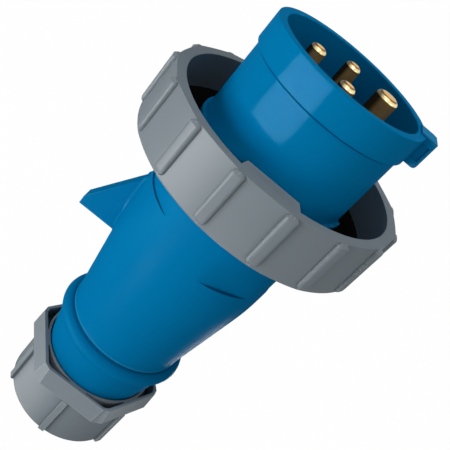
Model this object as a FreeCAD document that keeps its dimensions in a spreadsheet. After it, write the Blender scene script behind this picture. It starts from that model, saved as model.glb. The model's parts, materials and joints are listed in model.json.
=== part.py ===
import FreeCAD, Part
import math
import os
import re
import Sketcher

# Industrial pin and sleeve plug, 16 A, three lines and earth, watertight pattern.
# The plug stands on the rear end of its gland nut. Z runs up its axis to the pins,
# +X points to the key on the sleeve and -X to the retaining hook on the handle.
# All lengths are in millimetres and all angles in degrees.

SIZES = {
    # contact sleeve
    "sleeve_bore": 22.4,
    "sleeve_wall": 1.9,
    "band_rise": 0.9,
    "band_length": 8.8,
    "band_round": 0.5,
    "rim_edge": 0.25,
    "mouth_edge": 0.25,
    "sleeve_reach": 32.4,
    "sleeve_depth": 38.2,
    "sleeve_draft": 0.3,
    "floor_thickness": 5.0,
    "foot_rise": 1.2,
    "foot_thickness": 1.1,
    "foot_gap_angle": 30.0,
    "flange_play": 0.8,
    "flange_thickness": 2.8,
    "hub_radius": 27.2,
    "spigot_length": 10.1,
    "spigot_wall": 2.2,
    # key on the sleeve
    "key_rise": 3.5,
    "key_width": 7.0,
    "key_length": 9.0,
    "key_lead": 0.5,
    "key_pocket_depth": 0.7,
    "key_outer_web": 1.0,
    "key_front_web": 2.6,
    "key_rear_web": 2.4,
    # contacts
    "pin_circle": 22.0,
    "line_pin": 5.0,
    "earth_pin": 7.0,
    "line_tip_depth": 0.7,
    "earth_tip_lead": 1.3,
    "tip_round": 1.5,
    "root_rise": 0.4,
    "root_proud": 0.3,
    "barrel_rise": 1.5,
    "barrel_length": 14.0,
    "barrel_sink": 11.0,
    "wire_bore": 4.2,
    "wire_bore_depth": 11.0,
    "clamp_height": 6.5,
    "screw_thread": 3.9,
    "screw_length": 5.5,
    "screw_slot": 0.7,
    "screw_slot_depth": 1.2,
    "thread_play": 0.02,
    "guard_offset": 1.4,
    "guard_thickness": 0.4,
    "guard_width": 3.0,
    "guard_length": 7.0,
    # contact carrier
    "carrier_length": 18.0,
    "carrier_play": 0.1,
    "pin_play": 0.05,
    "barrel_play": 0.15,
    "driver_hole": 4.5,
    "fixing_circle": 28.0,
    "fixing_thread": 3.0,
    "fixing_play": 0.2,
    "fixing_bite": 3.5,
    "fixing_head": 5.4,
    "fixing_head_height": 1.8,
    # seals
    "gasket_thickness": 3.9,
    "gasket_width": 5.0,
    "gasket_edge": 0.4,
    "gasket_seat": 0.2,
    "gasket_seat_play": 0.2,
    "gasket_skirt": 0.7,
    "gasket_play": 0.3,
    "seal_section": 1.2,
    "seal_height": 5.0,
    "seal_play": 0.05,
    # locking ring
    "ring_bore": 35.4,
    "ring_wall": 3.2,
    "ring_draft": 0.5,
    "ring_length": 18.3,
    "ring_edge": 0.5,
    "ring_face_edge": 0.15,
    "lip_thickness": 3.3,
    "lip_play": 0.3,
    "rib_count": 15,
    "rib_radius": 1.95,
    "rib_rise": 1.7,
    "rib_setback": 0.7,
    "rib_bevel": 0.8,
    "lug_chord": 30.4,
    "lug_angle": 29.6,
    "lug_thickness": 4.0,
    "turn_range": 60.0,
    "stop_angle": 8.0,
    "stop_margin": 1.0,
    "stop_depth": 1.6,
    "stop_play": 0.3,
    # handle housing
    "neck_bore": 14.8,
    "neck_wall": 2.5,
    "neck_step": 1.44,
    "neck_skirt": 2.2,
    "neck_swell": 50.0,
    "neck_rise": 2.36,
    "bead_height": 14.8,
    "bead_rise": 1.7,
    "bead_round": 2.88,
    "groove_drop": 3.0,
    "taper_step": 0.3,
    "taper_edge": 0.62,
    "taper_length": 30.0,
    "swell_length": 11.0,
    "swell_rise": 0.75,
    "swell_round": 82.0,
    "grip_radius": 24.75,
    "grip_length": 24.1,
    "flare_rise": 5.25,
    "flare_height": 3.0,
    "flare_round": 5.6,
    "thread_length": 12.7,
    "thread_edge": 0.8,
    "neck_web_height": 1.3,
    "neck_web": 4.0,
    "neck_web_bore": 12.5,
    "shell_wall": 2.7,
    "spigot_cover": 2.25,
    "spigot_play": 0.1,
    "spigot_shelf": 0.5,
    "scoop_width": 28.0,
    "front_scoop_angle": 60.0,
    "front_scoop_depth": 1.05,
    "front_scoop_height": 3.6,
    "front_scoop_length": 13.0,
    "hook_scoop_angle": 142.0,
    "hook_scoop_depth": 0.65,
    "hook_scoop_height": 10.3,
    "hook_scoop_length": 7.0,
    # retaining hook
    "hook_thickness": 5.0,
    "hook_reach": 36.3,
    "hook_root_height": 6.2,
    "hook_tip_height": 12.5,
    "hook_tip_length": 3.0,
    # gland nut
    "nut_length": 24.7,
    "nut_wall": 3.0,
    "nut_bore": 9.5,
    "nut_mouth": 1.2,
    "nut_cap_wall": 2.3,
    "nut_cap_round": 1.6,
    "nut_flange_length": 6.7,
    "nut_flat_rise": 1.2,
    "nut_corner_cut": 0.7,
    "nut_draft": 0.65,
    "nut_rear_cut": 1.15,
    "nut_tube_wall": 1.0,
    "nut_hex_wall": 1.1,
    "nut_pocket_depth": 5.2,
    "nut_pocket_angle": 42.0,
    "nut_collar_depth": 3.7,
    "nut_collar_play": 0.26,
    "nut_thread_play": 1.3,
    "nut_seat_step": 2.2,
    "nut_seat_length": 6.2,
    "nut_rib_width": 2.1,
    "nut_rib_rise": 1.1,
    "nut_rib_start": 0.8,
    "nut_rib_edge": 0.5,
    # pieces clamped by the nut
    "washer_play": 0.3,
    "washer_gap": 0.4,
    "washer_lip": 0.8,
    "washer_cone": 3.6,
    "washer_thickness": 5.0,
    "cone_play": 0.5,
    "finger_lift": 1.3,
    "collet_play": 0.2,
    "collet_bore": 10.5,
    "collet_cap_bore": 8.0,
    "collet_cap": 2.0,
    "slot_count": 12,
    "slot_width": 1.2,
    "slot_length": 11.0,
    "grommet_bore": 6.0,
    "grommet_play": 0.1,
    "grommet_round": 1.0,
}

doc = FreeCAD.newDocument("pin_and_sleeve_plug")
sheet = doc.addObject("Spreadsheet::Sheet", "Sizes")
for row, (word, value) in enumerate(SIZES.items(), start=1):
    sheet.set("A%d" % row, word)
    sheet.set("B%d" % row, str(value))
    sheet.setAlias("B%d" % row, word)
doc.recompute()

# heights on the axis, each built on the one below it
NECK_END = "(nut_length - thread_length)"
WEB_TOP = "(nut_length + neck_web_height + neck_web)"
WEB = "(%s - neck_web)" % WEB_TOP
BEAD = "(nut_length + bead_height)"
TAPER_END = "(%s + bead_round + taper_edge)" % BEAD
TAPER_TOP = "(%s + taper_length)" % TAPER_END
GRIP = "(%s + swell_length)" % TAPER_TOP
HUB = "(%s + grip_length)" % GRIP
RING_REAR = "(%s + lip_play)" % HUB
FLANGE = "(%s + lip_thickness + lip_play)" % RING_REAR
FLANGE_TOP = "(%s + flange_thickness)" % FLANGE
GASKET_TOP = "(%s + gasket_thickness)" % FLANGE_TOP
FOOT_TOP = "(%s + foot_thickness)" % GASKET_TOP
FOOT = "(%s - gasket_seat)" % GASKET_TOP
RIM = "(%s + sleeve_reach)" % FOOT_TOP
SLEEVE_FLOOR = "(%s - sleeve_depth)" % RIM
CARRIER_TOP = "(%s - floor_thickness)" % SLEEVE_FLOOR
CARRIER_REAR = "(%s - carrier_length)" % CARRIER_TOP
BARREL_TOP = "(%s + barrel_sink)" % CARRIER_REAR
BARREL_END = "(%s - barrel_length)" % BARREL_TOP
SPIGOT_END = "(%s - spigot_length)" % HUB
SHELF = "(%s - spigot_shelf)" % SPIGOT_END
RING_FRONT = "(%s + ring_length)" % RING_REAR
WASHER = "(nut_wall + washer_play)"
FINGER_END = "(%s + finger_lift)" % WASHER

# radii that follow from others
SLEEVE = "(sleeve_bore + sleeve_wall)"
BAND = "(%s + band_rise)" % SLEEVE
FOOT_EDGE = "(%s + foot_rise)" % SLEEVE
SPIGOT_SEAT = "(grip_radius - spigot_cover)"
SPIGOT = "(%s - spigot_play)" % SPIGOT_SEAT
SPIGOT_BORE = "(%s - spigot_wall)" % SPIGOT
CARRIER = "(%s - carrier_play)" % SPIGOT_BORE
FLANGE_EDGE = "(ring_bore - flange_play)"
RING = "(ring_bore + ring_wall)"
LIP_BORE = "(hub_radius + lip_play)"
STOP_FLOOR = "(hub_radius - stop_depth)"
THREAD_CORE = "(neck_bore + neck_wall)"
NECK = "(%s + neck_step)" % THREAD_CORE
NECK_HEAD = "(%s + neck_rise)" % NECK
BEAD_CREST = "(%s + bead_rise)" % NECK_HEAD
GROOVE = "(%s - groove_drop)" % BEAD_CREST
TAPER_FOOT = "(%s + taper_step)" % GROOVE
TAPER_HEAD = "(grip_radius - swell_rise)"
FLARE_EDGE = "(grip_radius + flare_rise)"
THREAD_BORE = "(%s + nut_thread_play)" % THREAD_CORE
CAP = "(%s + nut_cap_wall)" % THREAD_BORE
RIB_EDGE = "(%s + nut_rib_rise)" % CAP
SEAT_BORE = "(%s - nut_seat_step)" % THREAD_BORE
TUBE_BORE = "(%s + nut_collar_play)" % NECK
TUBE = "(%s + nut_tube_wall)" % TUBE_BORE
FLAT = "(%s + nut_flat_rise)" % TUBE
WASHER_EDGE = "(%s - washer_gap)" % SEAT_BORE
WASHER_MOUTH = "(%s - washer_lip)" % WASHER_EDGE
WASHER_BORE = "(%s - washer_cone)" % WASHER_MOUTH
COLLET = "(neck_bore - collet_play)"
GROMMET = "(collet_bore - grommet_play)"

# the contacts: name, pin size, depth of the tip below the rim, angle on the circle
CONTACTS = [
    ("earth_pin", "earth_pin", "(0 - earth_tip_lead)", 0),
    ("line_pin_1", "line_pin", "line_tip_depth", 90),
    ("line_pin_2", "line_pin", "line_tip_depth", 180),
    ("line_pin_3", "line_pin", "line_tip_depth", 270),
]
FIXING_ANGLES = (45, 225)
STOP_PLACE = 150
# length of the construction line that a rib turns about
AXIS_MARK = 5


def formula(text):
    """A length in words, with every size word pointing at its cell of the sheet."""
    def cell(word):
        return "Sizes." + word.group(0) if word.group(0) in SIZES else word.group(0)
    return re.sub("[a-z_]+", cell, str(text))


def number(text):
    """The present value of a length in words."""
    value = sheet.evalExpression(formula(text))
    return float(getattr(value, "Value", value))


def bind(item, path, text):
    """Ties one property of an object to a length in words."""
    item.setExpression(path, formula(text))


def new_body(name):
    """An empty sub-part with its own label."""
    body = doc.addObject("PartDesign::Body", name)
    body.Label = name
    return body


def new_sketch(body, name, plane, level=None, turn=None):
    """A sketch on one of the body's own planes.

    level lifts a sketch on the XY plane, and turn swings one on the XZ plane about Z.
    """
    sketch = body.newObject("Sketcher::SketchObject", name)
    support = next(f for f in body.Origin.OriginFeatures if f.Role == plane)
    sketch.AttachmentSupport = [(support, "")]
    sketch.MapMode = "FlatFace"
    if level is not None:
        bind(sketch, "AttachmentOffset.Base.z", level)
    if turn is not None:
        axis = FreeCAD.Vector(0, 1, 0)
        sketch.AttachmentOffset = FreeCAD.Placement(FreeCAD.Vector(), FreeCAD.Rotation(axis, number(turn)))
        bind(sketch, "AttachmentOffset.Rotation.Angle", turn)
    return sketch


def arc_between(start, end, radius, left):
    """The shorter arc from start to end, with its centre on the left or right of the way."""
    middle = (start + end) * 0.5
    along = end - start
    half = along.Length / 2
    rise = math.sqrt(max(radius * radius - half * half, 0))
    side = FreeCAD.Vector(-along.y, along.x, 0)
    side.normalize()
    centre = middle + side * (rise if left else -rise)
    angles = [math.atan2(p.y - centre.y, p.x - centre.x) for p in (start, end)]
    circle = Part.Circle(centre, FreeCAD.Vector(0, 0, 1), radius)
    first, last = angles if left else reversed(angles)
    return Part.ArcOfCircle(circle, first, last)


def draw(sketch, corners):
    """A closed outline. A corner is (across, up) and may add a radius in words: the edge
    from there to the next corner is then an arc, bulging outwards, or inwards after "-"."""
    points = [FreeCAD.Vector(number(c[0]), number(c[1]), 0) for c in corners]
    ends = []
    for index, corner in enumerate(corners):
        start = points[index]
        end = points[(index + 1) % len(points)]
        if len(corner) == 2:
            sketch.addGeometry(Part.LineSegment(start, end), False)
            ends.append((1, 2))
            continue
        left = not corner[2].startswith("-")
        sketch.addGeometry(arc_between(start, end, number(corner[2].lstrip("-")), left), False)
        ends.append((1, 2) if left else (2, 1))
    for index, corner in enumerate(corners):
        follower = (index + 1) % len(corners)
        sketch.addConstraint(Sketcher.Constraint("Coincident", index, ends[index][1],
                                                 follower, ends[follower][0]))
        for kind, text in (("DistanceX", corner[0]), ("DistanceY", corner[1])):
            place = sketch.addConstraint(Sketcher.Constraint(kind, -1, 1, index, ends[index][0],
                                                             number(text)))
            bind(sketch, "Constraints[%d]" % place, text)
    for index, corner in enumerate(corners):
        if len(corner) == 3:
            text = corner[2].lstrip("-")
            place = sketch.addConstraint(Sketcher.Constraint("Radius", index, number(text)))
            bind(sketch, "Constraints[%d]" % place, text)


def turned(body, name, corners, cut=False, turn=None, angle="360", centred=False):
    """Turns an outline of (radius, height) corners about Z, or cuts with it."""
    sketch = new_sketch(body, name + "_outline", "XZ_Plane", turn=turn)
    draw(sketch, corners)
    feature = body.newObject("PartDesign::Groove" if cut else "PartDesign::Revolution", name)
    feature.Profile = sketch
    feature.ReferenceAxis = (sketch, ["V_Axis"])
    feature.Angle = number(angle)
    bind(feature, "Angle", angle)
    feature.Midplane = centred
    return feature


def raised(body, name, corners, level, height, cut=False):
    """Raises an outline of (x, y) corners from a level, or cuts upwards with it."""
    sketch = new_sketch(body, name + "_outline", "XY_Plane", level=level)
    draw(sketch, corners)
    feature = body.newObject("PartDesign::Pocket" if cut else "PartDesign::Pad", name)
    feature.Profile = sketch
    bind(feature, "Length", height)
    feature.Reversed = cut
    return feature


def blended(body, name, *sections):
    """A straight-sided piece through outlines of (x, y) corners, each at its own level."""
    sketches = []
    for index, (level, corners) in enumerate(sections, start=1):
        sketches.append(new_sketch(body, "%s_outline_%d" % (name, index), "XY_Plane", level=level))
        draw(sketches[-1], corners)
    feature = body.newObject("PartDesign::AdditiveLoft", name)
    feature.Profile = sketches[0]
    feature.Sections = sketches[1:]
    feature.Ruled = True
    return feature


def crosswise(body, name, corners, width, turn, cut=False):
    """Widens an outline of (radius, height) corners to both sides of its plane."""
    sketch = new_sketch(body, name + "_outline", "XZ_Plane", turn=turn)
    draw(sketch, corners)
    feature = body.newObject("PartDesign::Pocket" if cut else "PartDesign::Pad", name)
    feature.Profile = sketch
    bind(feature, "Length", width)
    feature.Midplane = True
    return feature


def around(body, name, features, count):
    """Repeats features evenly about Z."""
    pattern = body.newObject("PartDesign::PolarPattern", name)
    pattern.Originals = features
    axis = next(f for f in body.Origin.OriginFeatures if f.Role == "Z_Axis")
    pattern.Axis = (axis, [""])
    pattern.Angle = 360
    bind(pattern, "Occurrences", count)
    body.Tip = pattern
    return pattern


def drilled(body, name, radius, length, x="0", y="0", z="0", outwards=None):
    """Drills a round hole upwards from a point, or outwards from the axis at an angle."""
    hole = body.newObject("PartDesign::SubtractiveCylinder", name)
    bind(hole, "Radius", radius)
    bind(hole, "Height", length)
    if outwards is not None:
        swing = FreeCAD.Rotation(FreeCAD.Vector(0, 0, 1), outwards)
        lean = FreeCAD.Rotation(FreeCAD.Vector(0, 1, 0), 90)
        hole.Placement = FreeCAD.Placement(FreeCAD.Vector(), swing.multiply(lean))
    for axis, text in (("x", x), ("y", y), ("z", z)):
        bind(hole, "Placement.Base." + axis, text)
    return hole


def on_circle(diameter, angle):
    """The x and y of a point on a circle about the axis, in words."""
    return "(%s) / 2 * cos(%s)" % (diameter, angle), "(%s) / 2 * sin(%s)" % (diameter, angle)


def swung_to(body, angle, radius="0", height="0"):
    """Moves a sub-part from the axis out to its angle."""
    body.Placement = FreeCAD.Placement(FreeCAD.Vector(),
                                       FreeCAD.Rotation(FreeCAD.Vector(0, 0, 1), angle))
    bind(body, "Placement.Base.x", "(%s) * cos(%s)" % (radius, angle))
    bind(body, "Placement.Base.y", "(%s) * sin(%s)" % (radius, angle))
    bind(body, "Placement.Base.z", height)


def plug_sleeve():
    """Front moulding: sleeve, floor, flange for the gasket, hub for the ring and spigot."""
    body = new_body("plug_sleeve")
    turned(body, "sleeve_shell", [
        ("0", CARRIER_TOP),
        (SPIGOT_BORE, CARRIER_TOP),
        (SPIGOT_BORE, SPIGOT_END),
        (SPIGOT, SPIGOT_END),
        (SPIGOT, HUB),
        ("hub_radius", HUB),
        ("hub_radius", FLANGE),
        (FLANGE_EDGE, FLANGE),
        (FLANGE_EDGE, FLANGE_TOP),
        (SLEEVE, FLANGE_TOP),
        (SLEEVE, FOOT),
        (FOOT_EDGE, FOOT),
        (FOOT_EDGE, FOOT_TOP),
        (SLEEVE, FOOT_TOP),
        (SLEEVE, RIM + " - band_length"),
        (BAND + " - band_round", RIM + " - band_length", "band_round"),
        (BAND, RIM + " - band_length + band_round"),
        (BAND, RIM + " - rim_edge"),
        (BAND + " - rim_edge", RIM),
        ("sleeve_bore + mouth_edge", RIM),
        ("sleeve_bore", RIM + " - mouth_edge"),
        ("sleeve_bore - sleeve_draft", SLEEVE_FLOOR),
        ("0", SLEEVE_FLOOR),
    ])
    reach = "(%s + key_rise)" % BAND
    corner = "sqrt(%s ^ 2 - key_width ^ 2 / 4)" % reach
    root = "(sleeve_bore + sleeve_wall / 2)"
    raised(body, "key", [
        (root, "-key_width / 2"),
        (corner, "-key_width / 2", reach),
        (corner, "key_width / 2"),
        (root, "key_width / 2"),
    ], RIM + " + key_lead - key_length", "key_length")
    waist = "(key_width / 2 - key_pocket_depth)"
    for name, side in (("key_pocket_near", "-"), ("key_pocket_far", "")):
        lines = [
            (BAND, side + waist),
            (reach + " - key_outer_web", side + waist),
            (reach + " - key_outer_web", side + "(key_width / 2 + 1)"),
            (BAND, side + "(key_width / 2 + 1)"),
        ]
        raised(body, name, lines if side == "" else lines[::-1],
               RIM + " + key_lead - key_length + key_rear_web",
               "key_length - key_rear_web - key_front_web", cut=True)
    turned(body, "foot_gap", [
        (SLEEVE, FOOT),
        (FOOT_EDGE + " + 1", FOOT),
        (FOOT_EDGE + " + 1", FOOT_TOP),
        (SLEEVE, FOOT_TOP),
    ], cut=True, angle="foot_gap_angle", centred=True)
    seat = "(%s - seal_section + seal_play)" % SPIGOT
    turned(body, "seal_groove", [
        (seat, HUB + " - seal_height - seal_section / 2 - seal_play"),
        (SPIGOT + " + 1", HUB + " - seal_height - seal_section / 2 - seal_play"),
        (SPIGOT + " + 1", HUB + " - seal_height + seal_section / 2 + seal_play"),
        (seat, HUB + " - seal_height + seal_section / 2 + seal_play"),
    ], cut=True)
    turned(body, "stop_track", [
        (STOP_FLOOR, HUB),
        ("hub_radius + 1", HUB),
        ("hub_radius + 1", FLANGE),
        (STOP_FLOOR, FLANGE),
    ], cut=True, turn="%s - stop_angle / 2 - stop_margin" % STOP_PLACE,
        angle="turn_range + stop_angle + 2 * stop_margin")
    for name, pin, _, angle in CONTACTS:
        x, y = on_circle("pin_circle", angle)
        drilled(body, name + "_hole", pin + " / 2 + root_rise + pin_play", "floor_thickness + 1",
                x, y, CARRIER_TOP)
    for angle in FIXING_ANGLES:
        x, y = on_circle("fixing_circle", angle)
        drilled(body, "pilot_%d" % angle, "fixing_thread / 2 + thread_play", "fixing_bite + 0.3",
                x, y, CARRIER_TOP)
    return body


def contact_carrier():
    """Insulating block behind the sleeve's floor, which holds the four contacts."""
    body = new_body("contact_carrier")
    turned(body, "carrier_block", [
        ("0", CARRIER_REAR),
        (CARRIER, CARRIER_REAR),
        (CARRIER, CARRIER_TOP),
        ("0", CARRIER_TOP),
    ])
    for name, pin, _, angle in CONTACTS:
        x, y = on_circle("pin_circle", angle)
        drilled(body, name + "_hole", pin + " / 2 + root_rise + pin_play", "carrier_length",
                x, y, CARRIER_REAR)
        drilled(body, name + "_chamber", pin + " / 2 + barrel_rise + barrel_play", "barrel_sink",
                x, y, CARRIER_REAR)
        start = "(pin_circle / 2 + %s / 2)" % pin
        drilled(body, name + "_driver_hole", "driver_hole / 2", CARRIER,
                "%s * cos(%s)" % (start, angle), "%s * sin(%s)" % (start, angle),
                BARREL_END + " + clamp_height", outwards=angle)
    for angle in FIXING_ANGLES:
        x, y = on_circle("fixing_circle", angle)
        drilled(body, "fixing_hole_%d" % angle, "fixing_thread / 2 + fixing_play",
                "carrier_length", x, y, CARRIER_REAR)
    return body


def contact_pin(name, pin, tip_depth, angle):
    """One contact: round-ended pin, thicker root in the carrier and wire barrel behind."""
    body = new_body(name)
    root = "(%s / 2 + root_rise)" % pin
    barrel = "(%s / 2 + barrel_rise)" % pin
    tip = "(%s - %s)" % (RIM, tip_depth)
    turned(body, "contact", [
        ("0", BARREL_END + " + wire_bore_depth"),
        ("wire_bore / 2", BARREL_END + " + wire_bore_depth"),
        ("wire_bore / 2", BARREL_END),
        (barrel, BARREL_END),
        (barrel, BARREL_TOP),
        (root, BARREL_TOP),
        (root, SLEEVE_FLOOR + " + root_proud"),
        (pin + " / 2", SLEEVE_FLOOR + " + root_proud"),
        (pin + " / 2", tip + " - tip_round", "tip_round"),
        (pin + " / 2 - tip_round", tip),
        ("0", tip),
    ])
    drilled(body, "screw_hole", "screw_thread / 2 + thread_play", barrel,
            "0", "0", BARREL_END + " + clamp_height", outwards=0)
    swung_to(body, angle, "pin_circle / 2")
    return body


def terminal_screw(index, angle):
    """Slotted grub screw that clamps one wire, pointing at the axis."""
    body = new_body("terminal_screw_%d" % index)
    turned(body, "screw", [
        ("0", "0"),
        ("screw_thread / 2 - 0.4", "0"),
        ("screw_thread / 2", "0.4"),
        ("screw_thread / 2", "screw_length"),
        ("0", "screw_length"),
    ])
    raised(body, "slot", [
        ("-screw_thread", "-screw_slot / 2"),
        ("screw_thread", "-screw_slot / 2"),
        ("screw_thread", "screw_slot / 2"),
        ("-screw_thread", "screw_slot / 2"),
    ], "screw_length - screw_slot_depth", "screw_slot_depth + 1", cut=True)
    swung_to(body, angle, "pin_circle / 2 + guard_offset", BARREL_END + " + clamp_height")
    lean = FreeCAD.Rotation(FreeCAD.Vector(0, 1, 0), 90)
    body.Placement.Rotation = FreeCAD.Rotation(FreeCAD.Vector(0, 0, 1), angle).multiply(lean)
    return body


def wire_guard(index, angle):
    """Thin plate between a terminal screw and the wire."""
    body = new_body("wire_guard_%d" % index)
    raised(body, "plate", [
        ("guard_offset - guard_thickness", "-guard_width / 2"),
        ("guard_offset", "-guard_width / 2"),
        ("guard_offset", "guard_width / 2"),
        ("guard_offset - guard_thickness", "guard_width / 2"),
    ], BARREL_END + " + clamp_height - guard_length / 2", "guard_length")
    swung_to(body, angle, "pin_circle / 2")
    return body


def carrier_screw(index, angle):
    """Pan-headed screw that holds the carrier against the sleeve's floor."""
    body = new_body("carrier_screw_%d" % index)
    shank = "(carrier_length + fixing_bite)"
    turned(body, "screw", [
        ("0", "-fixing_head_height"),
        ("fixing_head / 2 - 0.6", "-fixing_head_height", "0.6"),
        ("fixing_head / 2", "0.6 - fixing_head_height"),
        ("fixing_head / 2", "0"),
        ("fixing_thread / 2", "0"),
        ("fixing_thread / 2", shank + " - 0.8"),
        ("fixing_thread / 2 - 0.6", shank),
        ("0", shank),
    ])
    for name, wide, deep in (("slot_across", "1.8", "0.25"), ("slot_along", "0.25", "1.8")):
        raised(body, name, [
            ("-" + wide, "-" + deep),
            (wide, "-" + deep),
            (wide, deep),
            ("-" + wide, deep),
        ], "-fixing_head_height - 1", "1.9", cut=True)
    swung_to(body, angle, "fixing_circle / 2", CARRIER_REAR)
    return body


def front_gasket():
    """Rubber ring on the flange, held by the foot of the sleeve, with a thin outer skirt."""
    body = new_body("front_gasket")
    outer = "(%s + gasket_width)" % SLEEVE
    turned(body, "gasket", [
        (SLEEVE, FLANGE_TOP),
        (FLANGE_EDGE + " - gasket_play", FLANGE_TOP),
        (FLANGE_EDGE + " - gasket_play", FLANGE_TOP + " + gasket_skirt"),
        (outer, FLANGE_TOP + " + gasket_skirt"),
        (outer, GASKET_TOP + " - gasket_edge"),
        (outer + " - gasket_edge", GASKET_TOP),
        (FOOT_EDGE + " + gasket_seat_play", GASKET_TOP),
        (FOOT_EDGE + " + gasket_seat_play", FOOT),
        (SLEEVE, FOOT),
    ])
    return body


def housing_seal():
    """Round rubber ring in the groove of the spigot."""
    body = new_body("housing_seal")
    middle = "(%s - seal_section / 2 + seal_play)" % SPIGOT
    height = "(%s - seal_height)" % HUB
    turned(body, "seal", [
        (middle, height + " - seal_section / 2", "seal_section / 2"),
        (middle + " + seal_section / 2", height, "seal_section / 2"),
        (middle, height + " + seal_section / 2", "seal_section / 2"),
        (middle + " - seal_section / 2", height, "seal_section / 2"),
    ])
    return body


def locking_ring():
    """Bayonet ring: ribbed panel, rear lip behind the flange, two lugs and a turn stop."""
    body = new_body("locking_ring")
    turned(body, "panel", [
        (LIP_BORE, RING_REAR),
        (RING + " + ring_draft - ring_edge", RING_REAR),
        (RING + " + ring_draft", RING_REAR + " + ring_edge"),
        (RING, RING_FRONT + " - ring_face_edge"),
        (RING + " - ring_face_edge", RING_FRONT),
        ("ring_bore + ring_face_edge", RING_FRONT),
        ("ring_bore", RING_FRONT + " - ring_face_edge"),
        ("ring_bore", RING_REAR + " + lip_thickness"),
        (LIP_BORE, RING_REAR + " + lip_thickness"),
    ])
    half = "lug_angle / 2"
    inner = "(lug_chord / cos(%s) * sin(%s))" % (half, half)
    seat = "(ring_bore + ring_wall / 2)"
    lug = raised(body, "lug", [
        (inner, "lug_chord"),
        ("%s * sin(%s)" % (seat, half), "%s * cos(%s)" % (seat, half)),
        ("-%s * sin(%s)" % (seat, half), "%s * cos(%s)" % (seat, half)),
        ("-" + inner, "lug_chord"),
    ], RING_FRONT + " - lug_thickness", "lug_thickness")
    around(body, "lugs", [lug], "2")
    low, high = ("(%s - stop_angle / 2)" % STOP_PLACE, "(%s + stop_angle / 2)" % STOP_PLACE)
    nose = "(%s + stop_play)" % STOP_FLOOR
    raised(body, "stop", [
        ("%s * cos(%s)" % (nose, low), "%s * sin(%s)" % (nose, low)),
        ("(%s + 1) * cos(%s)" % (LIP_BORE, low), "(%s + 1) * sin(%s)" % (LIP_BORE, low)),
        ("(%s + 1) * cos(%s)" % (LIP_BORE, high), "(%s + 1) * sin(%s)" % (LIP_BORE, high)),
        ("%s * cos(%s)" % (nose, high), "%s * sin(%s)" % (nose, high)),
    ], RING_REAR, "lip_thickness")
    centre = "(%s + rib_rise - rib_radius)" % RING
    foot = "(%s + rib_setback)" % RING_REAR
    sketch = new_sketch(body, "rib_outline", "XZ_Plane", turn="90")
    draw(sketch, [
        (centre, foot, "rib_radius"),
        (centre + " + rib_radius", foot + " + rib_radius"),
        (centre + " + rib_radius", RING_FRONT + " - rib_bevel"),
        (centre + " + rib_radius - rib_bevel", RING_FRONT),
        (centre, RING_FRONT),
    ])
    start = FreeCAD.Vector(number(centre), number(foot), 0)
    line = sketch.addGeometry(Part.LineSegment(start, start + FreeCAD.Vector(0, AXIS_MARK, 0)), True)
    sketch.addConstraint(Sketcher.Constraint("Coincident", line, 1, 0, 1))
    sketch.addConstraint(Sketcher.Constraint("Vertical", line))
    sketch.addConstraint(Sketcher.Constraint("DistanceY", line, 1, line, 2, AXIS_MARK))
    rib = body.newObject("PartDesign::Revolution", "rib")
    rib.Profile = sketch
    rib.ReferenceAxis = (sketch, ["Axis0"])
    rib.Angle = 360
    around(body, "ribs", [rib], "rib_count")
    return body


def handle_housing():
    """Handle shell: threaded neck, bead, tapered grip, flare under the ring and hook."""
    body = new_body("handle_housing")
    skirt = "(nut_length - neck_skirt)"
    low = "(%s - sqrt(bead_round ^ 2 - (bead_round - bead_rise) ^ 2))" % BEAD
    high = "(%s + sqrt(bead_round ^ 2 - (bead_round - groove_drop) ^ 2))" % BEAD
    flare = "(%s - flare_height)" % HUB
    fillet = "sqrt(flare_round ^ 2 - (flare_round - flare_rise) ^ 2)"
    turned(body, "shell", [
        ("neck_bore", NECK_END),
        (THREAD_CORE + " - thread_edge", NECK_END),
        (THREAD_CORE, NECK_END + " + thread_edge"),
        (THREAD_CORE, skirt),
        (NECK, skirt),
        (NECK, "nut_length", "neck_swell"),
        (NECK_HEAD, low, "bead_round"),
        (GROOVE, high),
        (TAPER_FOOT, TAPER_END),
        (TAPER_HEAD, TAPER_TOP, "swell_round"),
        ("grip_radius", GRIP),
        ("grip_radius", flare + " - " + fillet, "-flare_round"),
        (FLARE_EDGE, flare),
        (FLARE_EDGE, HUB),
        (SPIGOT_SEAT, HUB),
        (SPIGOT_SEAT, SHELF),
        ("grip_radius - shell_wall", SHELF),
        ("grip_radius - shell_wall", GRIP),
        (TAPER_HEAD + " - shell_wall", TAPER_TOP),
        (TAPER_FOOT + " - shell_wall", TAPER_END),
        (TAPER_FOOT + " - shell_wall", WEB_TOP),
        ("neck_web_bore", WEB_TOP),
        ("neck_web_bore", WEB),
        ("neck_bore", WEB),
    ])
    root = "(grip_radius - shell_wall / 2)"
    crosswise(body, "hook", [
        ("-" + root, GRIP + " + hook_root_height"),
        ("-grip_radius", GRIP + " + hook_root_height"),
        ("-hook_reach", GRIP + " - hook_tip_height"),
        ("-hook_reach", GRIP + " - hook_tip_height - hook_tip_length"),
        ("-" + root, GRIP + " - hook_tip_height - hook_tip_length"),
    ], "hook_thickness", turn="0")
    scoops = []
    for angle in ("front_scoop_angle", "0", "-front_scoop_angle"):
        scoops.append(("front_scoop", angle))
    for angle in ("hook_scoop_angle", "-hook_scoop_angle"):
        scoops.append(("hook_scoop", angle))
    for index, (kind, angle) in enumerate(scoops, start=1):
        step = "(%s + %s_height)" % (GRIP, kind)
        crosswise(body, "scoop_%d" % index, [
            ("grip_radius - %s_depth" % kind, step),
            ("grip_radius + 2", step),
            ("grip_radius + 2", step + " + %s_length" % kind),
            ("grip_radius", step + " + %s_length" % kind),
        ], "scoop_width", turn=angle, cut=True)
    return body


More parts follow.
